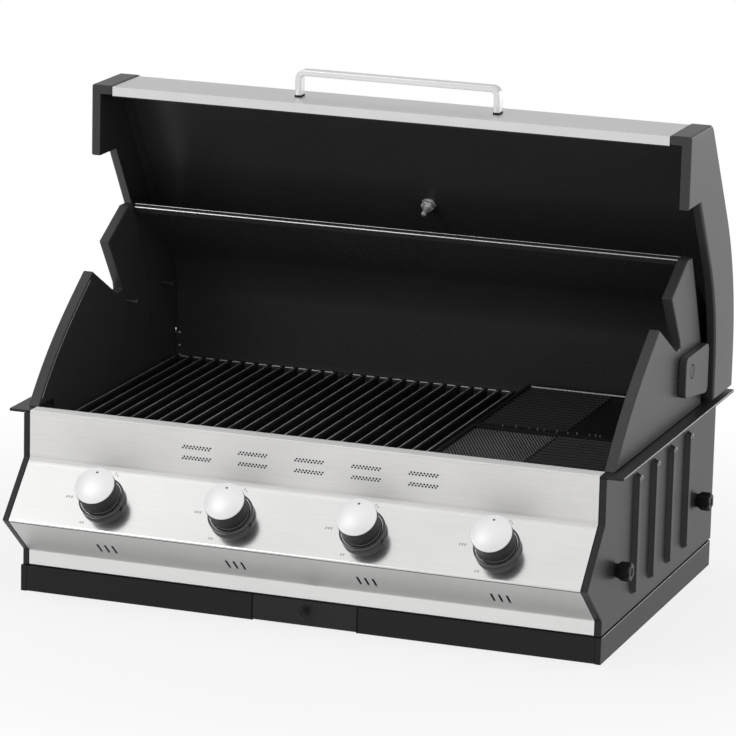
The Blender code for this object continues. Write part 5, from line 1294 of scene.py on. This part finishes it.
def side_line(bm, low, high, side, inset, drop, radius):
    """A bead from front to rear along the upper edge of one side of a box."""
    x = high.x if side > 0 else low.x
    strip(bm, (x, low.y + inset, high.z - drop), (x, high.y - inset, high.z - drop), radius)


def edge_lines():
    """Painted highlights along the edges of the flange and the base, painted shade in the gaps beside the
    drawer, and a line of painted shade under the nose.
    """
    # Pale beads painted as highlights on the flange's and the base's edges
    bm = bmesh.new()
    for side in (-1, 1):
        low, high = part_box("worktop_flange")
        side_line(bm, low, high, side, FLANGE_LINE_INSET, FLANGE_LINE_DROP, FLANGE_LINE)
        low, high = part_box("base_tray")
        side_line(bm, low, high, side, BASE_LINE_INSET, BASE_LINE_DROP, BASE_LINE)
    new_piece("edge_lines", bm, "edge_shine", "cabinet")
    bm = bmesh.new()
    # Dark strips painted as the shade in the gaps beside the drawer
    low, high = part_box("grease_drawer")
    for side in (-1, 1):
        x = side * (high.x + GAP_BESIDE)
        box(bm, (x - GAP_HALF, low.y - GAP_FRONT, GAP_FOOT), (x + GAP_HALF, low.y + GAP_BACK, GAP_TOP))
    new_piece("plinth_gap_shade", bm, "hole_and_gap_shade", "cabinet")
    # A dark line under the nose, painted as shade
    bm = bmesh.new()
    low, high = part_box("control_panel")
    y = low.y + NOSE_BACK
    strip(bm, (low.x, y, NOSE_HEIGHT), (high.x, y, NOSE_HEIGHT), NOSE_LINE)
    new_piece("nose_shade", bm, "mark_paint_and_shade", "cabinet")


thermometer()
griddles()
rivets()
trim()
rib_lines()
edge_lines()


# Studio and camera


def seen_rays(tree):
    """One for camera, mirror and glass rays, zero for the light that falls on things."""
    path = tree.nodes.new("ShaderNodeLightPath")
    seen = sum_node(tree, "MAXIMUM")
    link(tree, path, "Is Camera Ray", seen, 0)
    link(tree, path, "Is Glossy Ray", seen, 1)
    also = sum_node(tree, "MAXIMUM")
    link(tree, seen, "Value", also, 0)
    link(tree, path, "Is Transmission Ray", also, 1)
    return also


def paint_floor():
    """Pale floor that turns to plain white away from the object and for the camera's and mirrors' rays."""
    material = finish("floor", *FLOOR_LOOK)
    tree = material.node_tree
    reach = tree.nodes.new("ShaderNodeVectorMath")
    reach.operation = "LENGTH"
    link(tree, coordinates(tree, ALL_WAYS), "Vector", reach, 0)
    fade = tree.nodes.new("ShaderNodeMapRange")
    fade.interpolation_type = "SMOOTHSTEP"
    fade.inputs["From Min"].default_value = FLOOR_FADE[0]
    fade.inputs["From Max"].default_value = FLOOR_FADE[1]
    fade.inputs["To Min"].default_value = FLOOR_VEIL
    fade.inputs["To Max"].default_value = 1.0
    link(tree, reach, "Value", fade, "Value")
    seen = sum_node(tree, "MULTIPLY")
    link(tree, fade, "Result", seen, 0)
    link(tree, seen_rays(tree), "Value", seen, 1)
    white = tree.nodes.new("ShaderNodeEmission")
    mix = tree.nodes.new("ShaderNodeMixShader")
    link(tree, seen, "Value", mix, "Fac")
    link(tree, tree.nodes["Principled BSDF"], "BSDF", mix, 1)
    link(tree, white, "Emission", mix, 2)
    link(tree, mix, "Shader", tree.nodes["Material Output"], "Surface")
    return material


def floor():
    """A round floor whose rings widen outwards."""
    rings = []
    for step in range(1, FLOOR_RINGS + 1):
        reach = FLOOR_RADIUS * (step / FLOOR_RINGS) ** 2
        rings.append([(x, y, -FLOOR_DROP) for x, y in circle(reach, FLOOR_SIDES)])
    bm = bmesh.new()
    rows = add_rings(bm, rings, capped=False)
    bm.faces.new(rows[0])
    mesh = bpy.data.meshes.new("floor")
    bm.to_mesh(mesh)
    bm.free()
    mesh.materials.append(paint_floor())
    obj = placed("floor", mesh)


def lamp(name, place, target, size, power):
    data = bpy.data.lights.new(name, "AREA")
    data.shape = "RECTANGLE"
    data.size, data.size_y = size
    data.energy = power
    obj = placed(name, data)
    obj.location = place
    obj.rotation_euler = (Vector(target) - Vector(place)).to_track_quat("-Z", "Y").to_euler()


def world():
    """White for the camera, banded by height in mirrors, and softer for the light that falls on things."""
    sky = bpy.data.worlds.new("studio")
    sky.use_nodes = True
    bpy.context.scene.world = sky
    tree = sky.node_tree
    background = tree.nodes["Background"]
    background.inputs["Color"].default_value = (1, 1, 1, 1)
    strength = tree.nodes.new("ShaderNodeMapRange")
    strength.inputs["To Min"].default_value = WORLD_LIGHT
    strength.inputs["To Max"].default_value = 1.0
    link(tree, seen_rays(tree), "Value", strength, "Value")
    place = tree.nodes.new("ShaderNodeTexCoord")
    parts = tree.nodes.new("ShaderNodeSeparateXYZ")
    link(tree, place, "Generated", parts, "Vector")
    band = ramp_of(tree, BAND_STOPS)
    link(tree, parts, "Z", band, "Fac")
    path = tree.nodes.new("ShaderNodeLightPath")
    plain = tree.nodes.new("ShaderNodeMix")
    link(tree, path, "Is Camera Ray", plain, "Factor")
    link(tree, band, "Color", plain, "A")
    plain.inputs["B"].default_value = 1.0
    both = sum_node(tree, "MULTIPLY")
    link(tree, strength, "Result", both, 0)
    link(tree, plain, "Result", both, 1)
    link(tree, both, "Value", background, "Strength")


def camera():
    """The fitted camera: turned by its yaw and pitch, then rolled about its own line of sight."""
    data = bpy.data.cameras.new("camera")
    data.lens = CAMERA_LENS
    data.sensor_width = CAMERA_SENSOR
    data.clip_end = CAMERA_REACH
    obj = placed("camera", data)
    level = math.cos(CAMERA_PITCH)
    forward = Vector((-math.sin(CAMERA_YAW) * level, math.cos(CAMERA_YAW) * level, -math.sin(CAMERA_PITCH)))
    right = Vector((math.cos(CAMERA_YAW), math.sin(CAMERA_YAW), 0))
    up = right.cross(forward)
    turned_right = right * math.cos(CAMERA_ROLL) + up * math.sin(CAMERA_ROLL)
    turned_up = up * math.cos(CAMERA_ROLL) - right * math.sin(CAMERA_ROLL)
    turn = Matrix((turned_right, turned_up, -forward)).transposed()
    obj.matrix_world = Matrix.Translation(CAMERA_PLACE) @ turn.to_4x4()
    bpy.context.scene.camera = obj


floor()
world()
camera()
for lamp_row in LAMPS:
    lamp(*lamp_row)

bpy.context.scene.view_settings.view_transform = "Standard"
